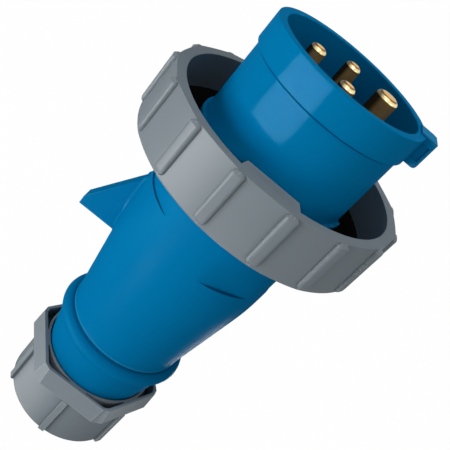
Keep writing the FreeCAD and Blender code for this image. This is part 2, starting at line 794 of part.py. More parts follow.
def hexagon(flat, cut):
    """A hexagon by the distance of its sides from the axis, with its corners cut square."""
    reach = "(%s / cos(30) - %s)" % (flat, cut)
    side = "(%s * tan(60))" % cut
    corners = []
    for angle in range(0, 360, 60):
        for sign in ("-", "+"):
            corners.append(("%s * cos(%d) - (%s%s) * sin(%d)" % (reach, angle, sign, side, angle),
                            "%s * sin(%d) + (%s%s) * cos(%d)" % (reach, angle, sign, side, angle)))
    return corners


def gland_nut():
    """Cap nut: round ribbed cap, hexagon with open corners and a tube round the neck."""
    body = new_body("gland_nut")
    flange = "(nut_length - nut_flange_length)"
    floor = "(nut_length - nut_pocket_depth)"
    turned(body, "cap", [
        ("0", "0"),
        (CAP + " - nut_cap_round", "0", "nut_cap_round"),
        (CAP, "nut_cap_round"),
        (CAP, flange + " + 1"),
        ("0", flange + " + 1"),
    ])
    blended(body, "hexagon",
            (flange, hexagon("(%s + nut_draft)" % FLAT, "nut_rear_cut")),
            ("nut_length", hexagon(FLAT, "nut_corner_cut")))
    wall = "(%s - nut_hex_wall)" % FLAT
    edge = "(%s / cos(30) - nut_corner_cut - nut_hex_wall)" % FLAT
    side = "((%s / cos(30) - %s) * tan(60))" % (wall, edge)
    half = "nut_pocket_angle / 2"
    shore = "(%s / cos(30 - %s))" % (wall, half)
    pocket = raised(body, "corner_pocket", [
        ("%s * cos(%s)" % (TUBE, half), "-%s * sin(%s)" % (TUBE, half)),
        ("%s * cos(%s)" % (shore, half), "-%s * sin(%s)" % (shore, half)),
        (edge, "-" + side),
        (edge, side),
        ("%s * cos(%s)" % (shore, half), "%s * sin(%s)" % (shore, half)),
        ("%s * cos(%s)" % (TUBE, half), "%s * sin(%s)" % (TUBE, half), "-" + TUBE),
    ], floor, "nut_pocket_depth + 1", cut=True)
    around(body, "corner_pockets", [pocket], "6")
    rib = crosswise(body, "rib", [
        (CAP + " - nut_cap_round", "nut_rib_start"),
        (RIB_EDGE + " - nut_rib_edge", "nut_rib_start"),
        (RIB_EDGE, "nut_rib_start + nut_rib_edge"),
        (RIB_EDGE, flange + " - nut_rib_edge"),
        (FLAT, flange),
        (CAP + " - nut_cap_round", flange),
    ], "nut_rib_width", turn="30")
    around(body, "ribs", [rib], "6")
    seat = "(nut_wall + nut_seat_length)"
    turned(body, "bore", [
        ("0", "0"),
        ("nut_bore + nut_mouth", "0"),
        ("nut_bore", "nut_mouth"),
        ("nut_bore", "nut_wall"),
        (SEAT_BORE, "nut_wall"),
        (SEAT_BORE, seat),
        (THREAD_BORE, seat),
        (THREAD_BORE, "nut_length - nut_collar_depth"),
        (TUBE_BORE, "nut_length - nut_collar_depth"),
        (TUBE_BORE, "nut_length"),
        ("0", "nut_length"),
    ], cut=True)
    return body


def thrust_washer():
    """Slip ring with an inner cone, which the nut drives against the fingers."""
    body = new_body("thrust_washer")
    turned(body, "washer", [
        (WASHER_BORE, WASHER),
        (WASHER_EDGE, WASHER),
        (WASHER_EDGE, WASHER + " + washer_thickness"),
        (WASHER_MOUTH, WASHER + " + washer_thickness"),
    ])
    return body


def clamping_collet():
    """Collet in the neck: a slotted sleeve whose fingers close on the grommet."""
    body = new_body("clamping_collet")
    slope = "(washer_cone / washer_thickness)"
    tip = "(%s + finger_lift * %s - cone_play)" % (WASHER_BORE, slope)
    shoulder = "(%s + (%s - %s) / %s)" % (FINGER_END, COLLET, tip, slope)
    turned(body, "collet", [
        ("collet_bore", FINGER_END),
        (tip, FINGER_END),
        (COLLET, shoulder),
        (COLLET, WEB),
        ("collet_cap_bore", WEB),
        ("collet_cap_bore", WEB + " - collet_cap"),
        ("collet_bore", WEB + " - collet_cap"),
    ])
    slot = raised(body, "slot", [
        ("collet_bore - 1", "-slot_width / 2"),
        (COLLET + " + 1", "-slot_width / 2"),
        (COLLET + " + 1", "slot_width / 2"),
        ("collet_bore - 1", "slot_width / 2"),
    ], FINGER_END + " - 1", "slot_length + 1", cut=True)
    around(body, "slots", [slot], "slot_count")
    return body


def cable_grommet():
    """Rubber sleeve that seals on the cable inside the collet."""
    body = new_body("cable_grommet")
    top = "(%s - collet_cap)" % WEB
    turned(body, "grommet", [
        ("grommet_bore", FINGER_END),
        (GROMMET + " - grommet_round", FINGER_END, "grommet_round"),
        (GROMMET, FINGER_END + " + grommet_round"),
        (GROMMET, top),
        ("grommet_bore", top),
    ])
    return body


parts = [plug_sleeve(), contact_carrier()]
for entry in CONTACTS:
    parts.append(contact_pin(*entry))
for number_of, entry in enumerate(CONTACTS, start=1):
    parts.append(terminal_screw(number_of, entry[3]))
    parts.append(wire_guard(number_of, entry[3]))
for number_of, place in enumerate(FIXING_ANGLES, start=1):
    parts.append(carrier_screw(number_of, place))
parts += [front_gasket(), housing_seal(), locking_ring(), handle_housing()]
parts += [cable_grommet(), clamping_collet(), thrust_washer(), gland_nut()]

doc.recompute()
for item in doc.Objects:
    if "Invalid" in item.State or "Error" in item.State:
        raise RuntimeError("%s did not build: %s" % (item.Name, item.State))
for part in parts:
    if part.Shape.isNull() or not part.Shape.isValid():
        raise RuntimeError("%s has no valid shape" % part.Label)

os.makedirs("parts", exist_ok=True)
for part in parts:
    part.Shape.exportStep("parts/%s.step" % part.Label)
    print("%-20s %9.1f mm3 %d solid" % (part.Label, part.Shape.Volume, len(part.Shape.Solids)))
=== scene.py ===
"""Looks of the industrial pin and sleeve plug: its mouldings, rubber, brass and studio."""

import json
import logging
import math
from collections.abc import Callable, Sequence
from dataclasses import dataclass, field, replace
from enum import Enum

import bmesh
import bpy
from bpy.types import Material, Node, NodeSocket, NodeTree, Object
from mathutils import Matrix, Vector


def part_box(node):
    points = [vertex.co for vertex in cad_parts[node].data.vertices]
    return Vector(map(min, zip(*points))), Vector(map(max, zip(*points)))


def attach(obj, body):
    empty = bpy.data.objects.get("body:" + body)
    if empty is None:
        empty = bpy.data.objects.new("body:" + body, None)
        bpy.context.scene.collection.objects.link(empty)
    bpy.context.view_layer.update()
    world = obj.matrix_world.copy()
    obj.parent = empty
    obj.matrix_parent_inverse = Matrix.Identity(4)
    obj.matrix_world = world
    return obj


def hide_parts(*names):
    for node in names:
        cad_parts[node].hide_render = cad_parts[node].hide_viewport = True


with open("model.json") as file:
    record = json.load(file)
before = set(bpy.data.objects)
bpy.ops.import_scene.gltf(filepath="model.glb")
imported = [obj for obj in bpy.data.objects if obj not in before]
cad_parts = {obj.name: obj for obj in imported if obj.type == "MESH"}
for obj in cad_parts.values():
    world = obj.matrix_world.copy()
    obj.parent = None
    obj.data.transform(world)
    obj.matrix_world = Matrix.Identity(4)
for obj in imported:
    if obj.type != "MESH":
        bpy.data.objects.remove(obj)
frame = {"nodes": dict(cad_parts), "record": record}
log = logging.getLogger("plug")

MM = 0.001
# How far a cutter or a root reaches past the surface that it meets, in mm
OVERLAP = 1.0
# How far two surfaces are kept from lying in one, in mm
HAIR = 0.01
# Bevelled solids get an inset rim on faces above this area in mm2, so that they shade flat
BROAD_FACE = 15.0
# Stands a prism up, so that the second number of its outline is the height
UPRIGHT = Matrix(((1, 0, 0, 0), (0, 0, 1, 0), (0, 1, 0, 0), (0, 0, 0, 1)))
MID_GREY = (0.5, 0.5, 0.5, 1)
WHITE = (1, 1, 1, 1)
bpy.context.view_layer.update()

# Names of the pieces that lamps are meant for
SLEEVE = "sleeve_moulding"
RING = "bayonet_ring"
HANDLE = "handle_moulding"
NUT = "cap_nut"
GASKET = "rubber_gasket"
PINS = ("brass_earth_pin", "brass_line_pin_1", "brass_line_pin_2", "brass_line_pin_3")


class Slot(Enum):
    """The record's material slots."""

    BLUE = "blue_plastic"
    GREY = "grey_plastic"
    BLACK = "black_plastic"
    RUBBER = "black_rubber"
    BRASS = "brass"
    STEEL = "plated_steel"


class Join(Enum):
    """What the repeated pieces do to the piece that they are spread around."""

    ADD = "UNION"
    CUT = "DIFFERENCE"


# Node helpers


def set_inputs(tree: NodeTree, node: Node, **settings: object) -> None:
    """Sets a node's attributes and inputs, and links each input that is given a socket.

    Args:
        tree: The node tree.
        node: The node.
        **settings: Attributes of the node, or inputs where the name is "at_NAME" or "in_INDEX".
    """
    for key, value in settings.items():
        if key.startswith("at_"):
            socket = node.inputs[key[3:].replace("_", " ")]
        elif key.startswith("in_"):
            socket = node.inputs[int(key[3:])]
        else:
            setattr(node, key, value)
            continue
        if isinstance(value, NodeSocket):
            tree.links.new(value, socket)
        else:
            socket.default_value = value


def add_node(tree: NodeTree, kind: str, **settings: object) -> Node:
    """Adds a node to a tree.

    Args:
        tree: The node tree.
        kind: Blender's name of the node type.
        **settings: What set_inputs takes.

    Returns:
        The new node.
    """
    node = tree.nodes.new(kind)
    set_inputs(tree, node, **settings)
    return node


def reckon(tree: NodeTree, operation: str, *values: object) -> NodeSocket:
    """The result of a math node on numbers or sockets."""
    inputs = {f"in_{index}": value for index, value in enumerate(values)}
    return add_node(tree, "ShaderNodeMath", operation=operation, **inputs).outputs[0]


def remap(tree: NodeTree, value: NodeSocket, span: Sequence[float],
          onto: Sequence[float] = (0.0, 1.0)) -> NodeSocket:
    """A value moved from one span onto another and held to its ends."""
    ends = {f"in_{index}": end for index, end in enumerate((*span, *onto), start=1)}
    return add_node(tree, "ShaderNodeMapRange", in_0=value, **ends).outputs[0]


def new_group(name: str, inputs: Sequence[tuple], outputs: Sequence[tuple]) -> tuple:
    """Starts a shader node group.

    Args:
        name: Name of the group.
        inputs: (name, kind, default) of each input, such as ("Reach", "Float", 1.0).
        outputs: (name, kind) of each output.

    Returns:
        The tree, the sockets of its inputs and its output node.
    """
    tree = bpy.data.node_groups.new(name, "ShaderNodeTree")
    for label, kind, default in inputs:
        socket = tree.interface.new_socket(label, in_out="INPUT", socket_type="NodeSocket" + kind)
        socket.default_value = default
    for label, kind in outputs:
        tree.interface.new_socket(label, in_out="OUTPUT", socket_type="NodeSocket" + kind)
    return tree, tree.nodes.new("NodeGroupInput").outputs, tree.nodes.new("NodeGroupOutput")


def new_material(name: str) -> tuple[Material, NodeTree, Node]:
    """Starts a material, and gives it with its tree and its surface shader."""
    material = bpy.data.materials.new(name)
    material.use_nodes = True
    tree = material.node_tree
    return material, tree, tree.nodes["Principled BSDF"]


def srgb(red: int, green: int, blue: int) -> tuple[float, float, float, float]:
    """A display colour of 0 to 255 as the linear colour that shaders take."""
    def linear(value: float) -> float:
        """One channel, from display to linear."""
        return value / 12.92 if value <= 0.04045 else ((value + 0.055) / 1.055) ** 2.4
    return (*(linear(channel / 255) for channel in (red, green, blue)), 1.0)


# Finishes


def moulded_grain() -> NodeTree:
    """The faint unevenness of a moulded surface.

    Returns:
        A group that gives a colour shade, a roughness and a normal.
    """
    tree, source, result = new_group(
        "moulded_grain",
        [("Color", "Color", MID_GREY), ("Grain Size", "Float", 1.0), ("Grain Depth", "Float", 0.1),
         ("Shade Change", "Float", 0.05), ("Roughness", "Float", 0.4)],
        [("Color", "Color"), ("Roughness", "Float"), ("Normal", "Vector")])
    place = add_node(tree, "ShaderNodeTexCoord").outputs["Object"]
    scale = reckon(tree, "DIVIDE", 1 / MM, source["Grain Size"])
    fine = add_node(tree, "ShaderNodeTexNoise", at_Vector=place, at_Scale=scale, at_Detail=2.0)
    cloud = add_node(tree, "ShaderNodeTexNoise", at_Vector=place, at_Scale=45.0, at_Detail=3.0)
    swing = remap(tree, cloud.outputs["Fac"], (0.3, 0.7), (-0.5, 0.5))
    shade = reckon(tree, "MULTIPLY_ADD", swing, source["Shade Change"], 1.0)
    tint = add_node(tree, "ShaderNodeVectorMath", operation="SCALE", in_0=source["Color"], at_Scale=shade)
    rough = reckon(tree, "MULTIPLY_ADD", swing, 0.06, source["Roughness"])
    bump = add_node(tree, "ShaderNodeBump", at_Strength=source["Grain Depth"], at_Distance=0.0001,
                    at_Height=fine.outputs["Fac"])
    set_inputs(tree, result, at_Color=tint.outputs[0], at_Roughness=rough, at_Normal=bump.outputs[0])
    return tree


def painted_edge_highlight() -> NodeTree:
    """A painted highlight: the lighter line that light leaves on the crisp edges of a moulding.

    Returns:
        A group that mixes a painted highlight colour into a surface colour at crisp edges.
    """
    tree, source, result = new_group(
        "painted_edge_highlight",
        [("Color", "Color", MID_GREY), ("Edge Color", "Color", WHITE), ("Strength", "Float", 0.3)],
        [("Color", "Color")])
    shape = add_node(tree, "ShaderNodeNewGeometry")
    edge = remap(tree, shape.outputs["Pointiness"], (0.53, 0.62))
    share = reckon(tree, "MULTIPLY", edge, source["Strength"])
    mix = add_node(tree, "ShaderNodeMix", data_type="RGBA", at_Factor=share, in_6=source["Color"],
                   in_7=source["Edge Color"])
    set_inputs(tree, result, at_Color=mix.outputs[2])
    return tree


def crevice_shade() -> NodeTree:
    """Painted shade: the dark line that shade leaves in the inner corners of a moulding.

    Returns:
        A group that darkens a surface colour with painted shade in the corners of its own piece.
    """
    tree, source, result = new_group(
        "crevice_shade",
        [("Color", "Color", MID_GREY), ("Reach", "Float", 0.0012), ("Darkness", "Float", 0.5)],
        [("Color", "Color")])
    open_share = add_node(tree, "ShaderNodeAmbientOcclusion", samples=6, only_local=True,
                          at_Distance=source["Reach"])
    corner = remap(tree, open_share.outputs["AO"], (0.85, 0.5))
    share = reckon(tree, "MULTIPLY", corner, source["Darkness"])
    rest = reckon(tree, "SUBTRACT", 1.0, share)
    tint = add_node(tree, "ShaderNodeVectorMath", operation="SCALE", in_0=source["Color"], at_Scale=rest)
    set_inputs(tree, result, at_Color=tint.outputs[0])
    return tree


@dataclass(frozen=True)
class Moulding:
    """A moulded plastic or rubber.

    Attributes:
        name: Name of the material.
        color: Its colour.
        edge: Colour of the highlight painted on its crisp edges.
        roughness: How matt it is.
        grain_size: Size of its grain in mm.
        grain_depth: Strength of its grain.
        shade_change: How much its colour drifts over the surface.
        edge_share: How strongly that painted edge highlight shows.
        sheen: Strength of its reflections, 0.5 for plain plastic.
        coat: Weight of the smooth skin on top.
        coat_roughness: How matt that skin is.
        corner_darkness: How dark the shade painted into its inner corners is.
    """

    name: str
    color: tuple[float, float, float, float]
    edge: tuple[float, float, float, float]
    roughness: float = 0.4
    grain_size: float = 0.35
    grain_depth: float = 0.12
    shade_change: float = 0.05
    edge_share: float = 0.35
    sheen: float = 0.0
    coat: float = 0.0
    coat_roughness: float = 0.05
    corner_darkness: float = 0.6

    def build(self, groups: dict[str, NodeTree]) -> Material:
        """Makes the material.

        Args:
            groups: The shared node groups by name.

        Returns:
            The material.
        """
        material, tree, surface = new_material(self.name)
        grain = add_node(tree, "ShaderNodeGroup", node_tree=groups["moulded_grain"],
                         at_Color=self.color, at_Grain_Size=self.grain_size,
                         at_Grain_Depth=self.grain_depth, at_Shade_Change=self.shade_change,
                         at_Roughness=self.roughness)
        # Painted highlight on the crisp edges, then painted shade in the inner corners
        highlighted = add_node(tree, "ShaderNodeGroup", node_tree=groups["painted_edge_highlight"],
                        at_Color=grain.outputs["Color"], at_Edge_Color=self.edge,
                        at_Strength=self.edge_share)
        corners = add_node(tree, "ShaderNodeGroup", node_tree=groups["crevice_shade"],
                           at_Color=highlighted.outputs["Color"], at_Darkness=self.corner_darkness)
        set_inputs(tree, surface, at_Base_Color=corners.outputs["Color"],
                   at_Roughness=grain.outputs["Roughness"], at_Normal=grain.outputs["Normal"],
                   at_Specular_IOR_Level=self.sheen, at_Coat_Weight=self.coat,
                   at_Coat_Roughness=self.coat_roughness)
        return material


@dataclass(frozen=True)
class TurnedMetal:
    """A metal turned on a lathe, with fine rings round the axis of its piece.

    Attributes:
        name: Name of the material.
        color: Its colour.
        tarnish: Its colour where it has darkened.
        roughness: How matt it is.
        ring_depth: Strength of the turning marks.
        metallic: Share of its mirror light.
        painted_reflection_colors: Painted reflections by upward tilt, as (share, colour), or none.
        painted_shade_side: Direction towards which those painted reflection colours are darkened.
    """

    name: str
    color: tuple[float, float, float, float]
    tarnish: tuple[float, float, float, float]
    roughness: float = 0.2
    ring_depth: float = 0.15
    metallic: float = 1.0
    painted_reflection_colors: tuple = ()
    painted_shade_side: tuple[float, float, float] = (-0.95, 0.3, 0.0)

    def build(self, groups: dict[str, NodeTree]) -> Material:
        """Makes the material.

        Args:
            groups: The shared node groups by name; not used.

        Returns:
            The material.
        """
        material, tree, surface = new_material(self.name)
        place = add_node(tree, "ShaderNodeTexCoord").outputs
        cloud = add_node(tree, "ShaderNodeTexNoise", at_Vector=place["Object"], at_Scale=160.0,
                         at_Detail=4.0)
        age = remap(tree, cloud.outputs["Fac"], (0.45, 0.75), (0.0, 0.5))
        mix = add_node(tree, "ShaderNodeMix", data_type="RGBA", at_Factor=age, in_6=self.color,
                       in_7=self.tarnish)
        # Painted reflection and shade, by the way the surface faces
        if self.painted_reflection_colors:
            mix = add_node(tree, "ShaderNodeMix", data_type="RGBA", blend_type="MULTIPLY", in_0=1.0,
                           in_6=mix.outputs[2], in_7=self.painted_reflection_shade(tree, place["Normal"]))
        rings = add_node(tree, "ShaderNodeTexWave", wave_type="BANDS", bands_direction="Z",
                         at_Vector=place["Object"], at_Scale=900.0, at_Distortion=1.5, at_Detail=2.0)
        rough = remap(tree, rings.outputs["Fac"], (0.0, 1.0), (self.roughness * 0.8, self.roughness * 1.3))
        bump = add_node(tree, "ShaderNodeBump", at_Strength=self.ring_depth, at_Distance=0.00003,
                        at_Height=rings.outputs["Fac"])
        set_inputs(tree, surface, at_Base_Color=mix.outputs[2], at_Metallic=self.metallic,
                   at_Specular_IOR_Level=0.0, at_Roughness=rough, at_Normal=bump.outputs[0])
        return material

    def painted_reflection_shade(self, tree: NodeTree, normal: NodeSocket) -> NodeSocket:
        """Painted reflection colours by how far the surface faces up, darkened with painted shade towards
        one side.

        Args:
            tree: The material's tree.
            normal: The surface normal.

        Returns:
            The socket with the colour.
        """
        up = add_node(tree, "ShaderNodeSeparateXYZ", in_0=normal)
        ramp = add_node(tree, "ShaderNodeValToRGB", in_0=up.outputs["Z"])
        stops = ramp.color_ramp.elements
        for index, (share, color) in enumerate(self.painted_reflection_colors):
            stop = stops[index] if index < 2 else stops.new(share)
            stop.position, stop.color = share, color
        facing = add_node(tree, "ShaderNodeVectorMath", operation="DOT_PRODUCT", in_0=normal,
                          in_1=self.painted_shade_side)
        shade = remap(tree, facing.outputs["Value"], (0.0, 0.4), (1.0, 0.15))
        dim = add_node(tree, "ShaderNodeVectorMath", operation="SCALE", in_0=ramp.outputs[0], at_Scale=shade)
        return dim.outputs[0]


# The second colour of each moulding is the highlight painted on its crisp edges
MATT_BLUE = Moulding("blue_polyamide", srgb(0, 121, 177), srgb(70, 165, 212), roughness=0.5,
                     coat=0.012, coat_roughness=0.35, grain_depth=0.04, shade_change=0.03, edge_share=0.5)
GLOSS_BLUE = replace(MATT_BLUE, name="glossy_blue_polyamide", coat_roughness=0.006, grain_depth=0.005,
                     edge_share=0.3, corner_darkness=0.2)
# A lighter blue for the ridge below the taper: a painted highlight line
RIDGE_HIGHLIGHT_BLUE = replace(MATT_BLUE, name="ridge_highlight_blue_polyamide", color=srgb(38, 140, 190))
# Painted reflections on the brass: light bands are painted highlights, dark bands painted shade
BRASS_PAINTED_REFLECTION = ((0.0, srgb(134, 116, 88)), (0.12, srgb(108, 92, 62)), (0.22, srgb(70, 50, 24)),
              (0.36, srgb(255, 244, 208)), (0.7, srgb(255, 246, 214)), (0.86, srgb(150, 108, 52)),
              (0.93, srgb(92, 64, 30)), (0.985, srgb(204, 166, 98)), (1.0, srgb(212, 176, 108)))
FINISHES = {
    Slot.BLUE: MATT_BLUE,
    Slot.GREY: Moulding("grey_polyamide", srgb(126, 136, 142), srgb(182, 192, 198), roughness=0.5,
                        coat=0.06, coat_roughness=0.4, grain_depth=0.06, shade_change=0.04, edge_share=0.45,
                        corner_darkness=0.35),
    Slot.BLACK: Moulding("black_polyamide", srgb(34, 35, 37), srgb(90, 92, 95), roughness=0.45, sheen=0.3),
    Slot.RUBBER: Moulding("black_rubber", srgb(14, 14, 12), srgb(30, 31, 30), roughness=0.7,
                          grain_depth=0.3, edge_share=0.1),
    Slot.BRASS: TurnedMetal("turned_brass", srgb(255, 246, 222), srgb(206, 182, 136), 0.14, metallic=0.5,
                            painted_reflection_colors=BRASS_PAINTED_REFLECTION),
    Slot.STEEL: TurnedMetal("zinc_plated_steel", srgb(176, 176, 172), srgb(128, 126, 118), 0.3),
}


# Shaping


@dataclass(frozen=True)
class Corner:
    """A corner of a turned profile, in mm.

    Attributes:
        r: Radius.
        z: Height.
        round: Radius of the rounding at this corner.
    """

    r: float
    z: float
    round: float = 0.0


def bow(start: Corner, end: Corner, radius: float, steps: int) -> list[Corner]:
    """Points of the shallow arc from start to end.

    Args:
        start: First end of the arc, left out of the result.
        end: Second end of the arc, left out of the result.
        radius: Arc radius in mm; positive with its centre on the left of the way.
        steps: Number of spans.

    Returns:
        The points between the two ends.
    """
    a, b = Vector((start.r, start.z)), Vector((end.r, end.z))
    half = (b - a).length / 2
    side = Vector((-(b - a).y, (b - a).x)).normalized()
    centre = (a + b) / 2 + side * math.copysign(math.sqrt(radius * radius - half * half), radius)
    from_a, from_b = a - centre, b - centre
    first = math.atan2(from_a.y, from_a.x)
    sweep = math.atan2(from_a.x * from_b.y - from_a.y * from_b.x, from_a.dot(from_b))
    return [Corner(centre.x + abs(radius) * math.cos(first + sweep * i / steps),
                   centre.y + abs(radius) * math.sin(first + sweep * i / steps)) for i in range(1, steps)]


def soften(corners: Sequence[Corner], step: float = 15.0) -> list[Vector]:
    """Turns the rounded corners of a closed profile into short spans.

    Args:
        corners: The profile's corners in order.
        step: Largest turn in degrees between two spans of a rounding.

    Returns:
        The profile's points as (radius, height) in mm.
    """
    points: list[Vector] = []
    count = len(corners)
    for index, corner in enumerate(corners):
        here = Vector((corner.r, corner.z))
        if not corner.round:
            points.append(here)
            continue
        before, after = corners[index - 1], corners[(index + 1) % count]
        back = (Vector((before.r, before.z)) - here).normalized()
        ahead = (Vector((after.r, after.z)) - here).normalized()
        opening = back.angle(ahead)
        centre = here + (back + ahead).normalized() * corner.round / math.sin(opening / 2)
        reach = corner.round / math.tan(opening / 2)
        first, last = here + back * reach - centre, here + ahead * reach - centre
        turn = math.atan2(first.x * last.y - first.y * last.x, first.dot(last))
        spans = max(2, math.ceil(math.degrees(abs(turn)) / step))
        for i in range(spans + 1):
            spin = Matrix.Rotation(turn * i / spans, 2)
            points.append(centre + spin @ first)
    return points


def held(share: float) -> float:
    """A share held between 0 and 1."""
    return min(1.0, max(0.0, share))


def around(radius: float, turn: float) -> tuple[float, float]:
    """The point at a radius and at an angle in radians about the axis."""
    return radius * math.cos(turn), radius * math.sin(turn)


def on_arc(radius: float, first: float, last: float, steps: int) -> list[tuple[float, float]]:
    """Points of an arc about the axis, between two angles in degrees."""
    return [around(radius, math.radians(first + (last - first) * i / steps)) for i in range(steps + 1)]


def turned(name: str, corners: Sequence[Corner], spans: int = 180,
           reshape: Callable[[float, float, float], float] | None = None,
           angles: Sequence[float] | None = None) -> Object:
    """Turns a closed profile about the axis into a closed mesh.

    Args:
        name: Name of the object.
        corners: The profile's corners, in mm.
        spans: Number of spans around the axis.
        reshape: Gives a point's new radius from its radius, height and angle in degrees.
        angles: The angles of the spans in degrees, in place of even ones.

    Returns:
        The new object.
    """
    profile = soften(corners)
    turns = list(angles) if angles else [360 * i / spans for i in range(spans)]
    mesh = bmesh.new()
    columns = []
    on_axis: dict[int, bmesh.types.BMVert] = {}
    for turn in turns:
        spin = math.radians(turn)
        column = []
        for place, (radius, height) in enumerate(profile):
            if radius < 1e-6:
                if place not in on_axis:
                    on_axis[place] = mesh.verts.new((0, 0, height * MM))
                column.append(on_axis[place])
                continue
            x, y = around(reshape(radius, height, turn) if reshape else radius, spin)
            column.append(mesh.verts.new((x * MM, y * MM, height * MM)))
        columns.append(column)
    for index, column in enumerate(columns):
        follower = columns[(index + 1) % len(columns)]
        for low in range(len(profile)):
            high = (low + 1) % len(profile)
            ring = [column[low], follower[low], follower[high], column[high]]
            corners_of_face = list(dict.fromkeys(ring))
            if len(corners_of_face) > 2:
                mesh.faces.new(corners_of_face)
    bmesh.ops.recalc_face_normals(mesh, faces=mesh.faces)
    return as_object(name, mesh)


def as_object(name: str, mesh: bmesh.types.BMesh) -> Object:
    """Puts a finished mesh into the scene as an object at the origin."""
    data = bpy.data.meshes.new(name)
    mesh.to_mesh(data)
    mesh.free()
    item = bpy.data.objects.new(name, data)
    bpy.context.scene.collection.objects.link(item)
    return item


def prism(name: str, outline: Sequence[tuple[float, float]], low: float, high: float,
          place: Matrix | None = None, bevel: float = 0.0,
          top: Sequence[tuple[float, float]] | None = None) -> Object:
    """Raises a closed outline into a solid.

    Args:
        name: Name of the object.
        outline: The outline's corners in mm, counterclockwise.
        low: Height of its lower side in mm.
        high: Height of its upper side in mm.
        place: Turns the raised solid to its place.
        bevel: Width of the bevel on its edges in mm.
        top: The outline of its upper side, where that differs.

    Returns:
        The new object.
    """
    mesh = bmesh.new()
    lower = [mesh.verts.new((x, y, low)) for x, y in outline]
    upper = [mesh.verts.new((x, y, high)) for x, y in top or outline]
    mesh.faces.new(reversed(lower))
    mesh.faces.new(upper)
    for index in range(len(outline)):
        follower = (index + 1) % len(outline)
        mesh.faces.new((lower[index], lower[follower], upper[follower], upper[index]))
    if bevel:
        sharp = [edge for edge in mesh.edges if edge.calc_face_angle(0) > math.radians(25)]
        bmesh.ops.bevel(mesh, geom=sharp, offset=bevel, segments=3, profile=0.5, affect="EDGES",
                        clamp_overlap=True)
        broad = [face for face in mesh.faces if face.calc_area() > BROAD_FACE]
        bmesh.ops.inset_individual(mesh, faces=broad, thickness=bevel, use_even_offset=True)
    bmesh.ops.transform(mesh, matrix=Matrix.Scale(MM, 4) @ (place or Matrix()), verts=mesh.verts)
    bmesh.ops.recalc_face_normals(mesh, faces=mesh.faces)
    return as_object(name, mesh)


def spread_tree(join: Join) -> NodeTree:
    """Geometry nodes that repeat a piece about the axis and join it to another or cut with it.

    Args:
        join: Whether the repeats are added or cut away.

    Returns:
        The tree, with inputs for the base, the piece, the count, the first angle and the material.
    """
    tree = bpy.data.node_groups.new("spread_" + join.name.lower(), "GeometryNodeTree")
    for label, kind in (("Base", "Geometry"), ("Piece", "Object"), ("Count", "Int"),
                        ("First Angle", "Float"), ("Material", "Material")):
        tree.interface.new_socket(label, in_out="INPUT", socket_type="NodeSocket" + kind)
    tree.interface.new_socket("Solid", in_out="OUTPUT", socket_type="NodeSocketGeometry")
    source, result = tree.nodes.new("NodeGroupInput").outputs, tree.nodes.new("NodeGroupOutput")
    points = add_node(tree, "GeometryNodeMeshLine", mode="OFFSET", at_Count=source["Count"],
                      at_Offset=(0, 0, 0))
    piece = add_node(tree, "GeometryNodeObjectInfo", transform_space="ORIGINAL",
                     at_Object=source["Piece"])
    index = add_node(tree, "GeometryNodeInputIndex").outputs[0]
    step = reckon(tree, "DIVIDE", math.tau, source["Count"])
    spin = add_node(tree, "ShaderNodeCombineXYZ",
                    at_Z=reckon(tree, "MULTIPLY_ADD", index, step, source["First Angle"]))
    copies = add_node(tree, "GeometryNodeInstanceOnPoints", at_Points=points.outputs["Mesh"],
                      at_Instance=piece.outputs["Geometry"], at_Rotation=spin.outputs[0])
    real = add_node(tree, "GeometryNodeRealizeInstances", in_0=copies.outputs[0])
    blend = add_node(tree, "GeometryNodeMeshBoolean", operation=join.value, solver="EXACT")
    tree.links.new(source["Base"], blend.inputs["Mesh 1" if join is Join.CUT else "Mesh 2"])
    tree.links.new(real.outputs[0], blend.inputs["Mesh 2"])
    whole = add_node(tree, "GeometryNodeRealizeInstances", in_0=blend.outputs["Mesh"])
    paint = add_node(tree, "GeometryNodeSetMaterial", at_Geometry=whole.outputs[0],
                     at_Material=source["Material"])
    set_inputs(tree, result, in_0=paint.outputs[0])
    return tree


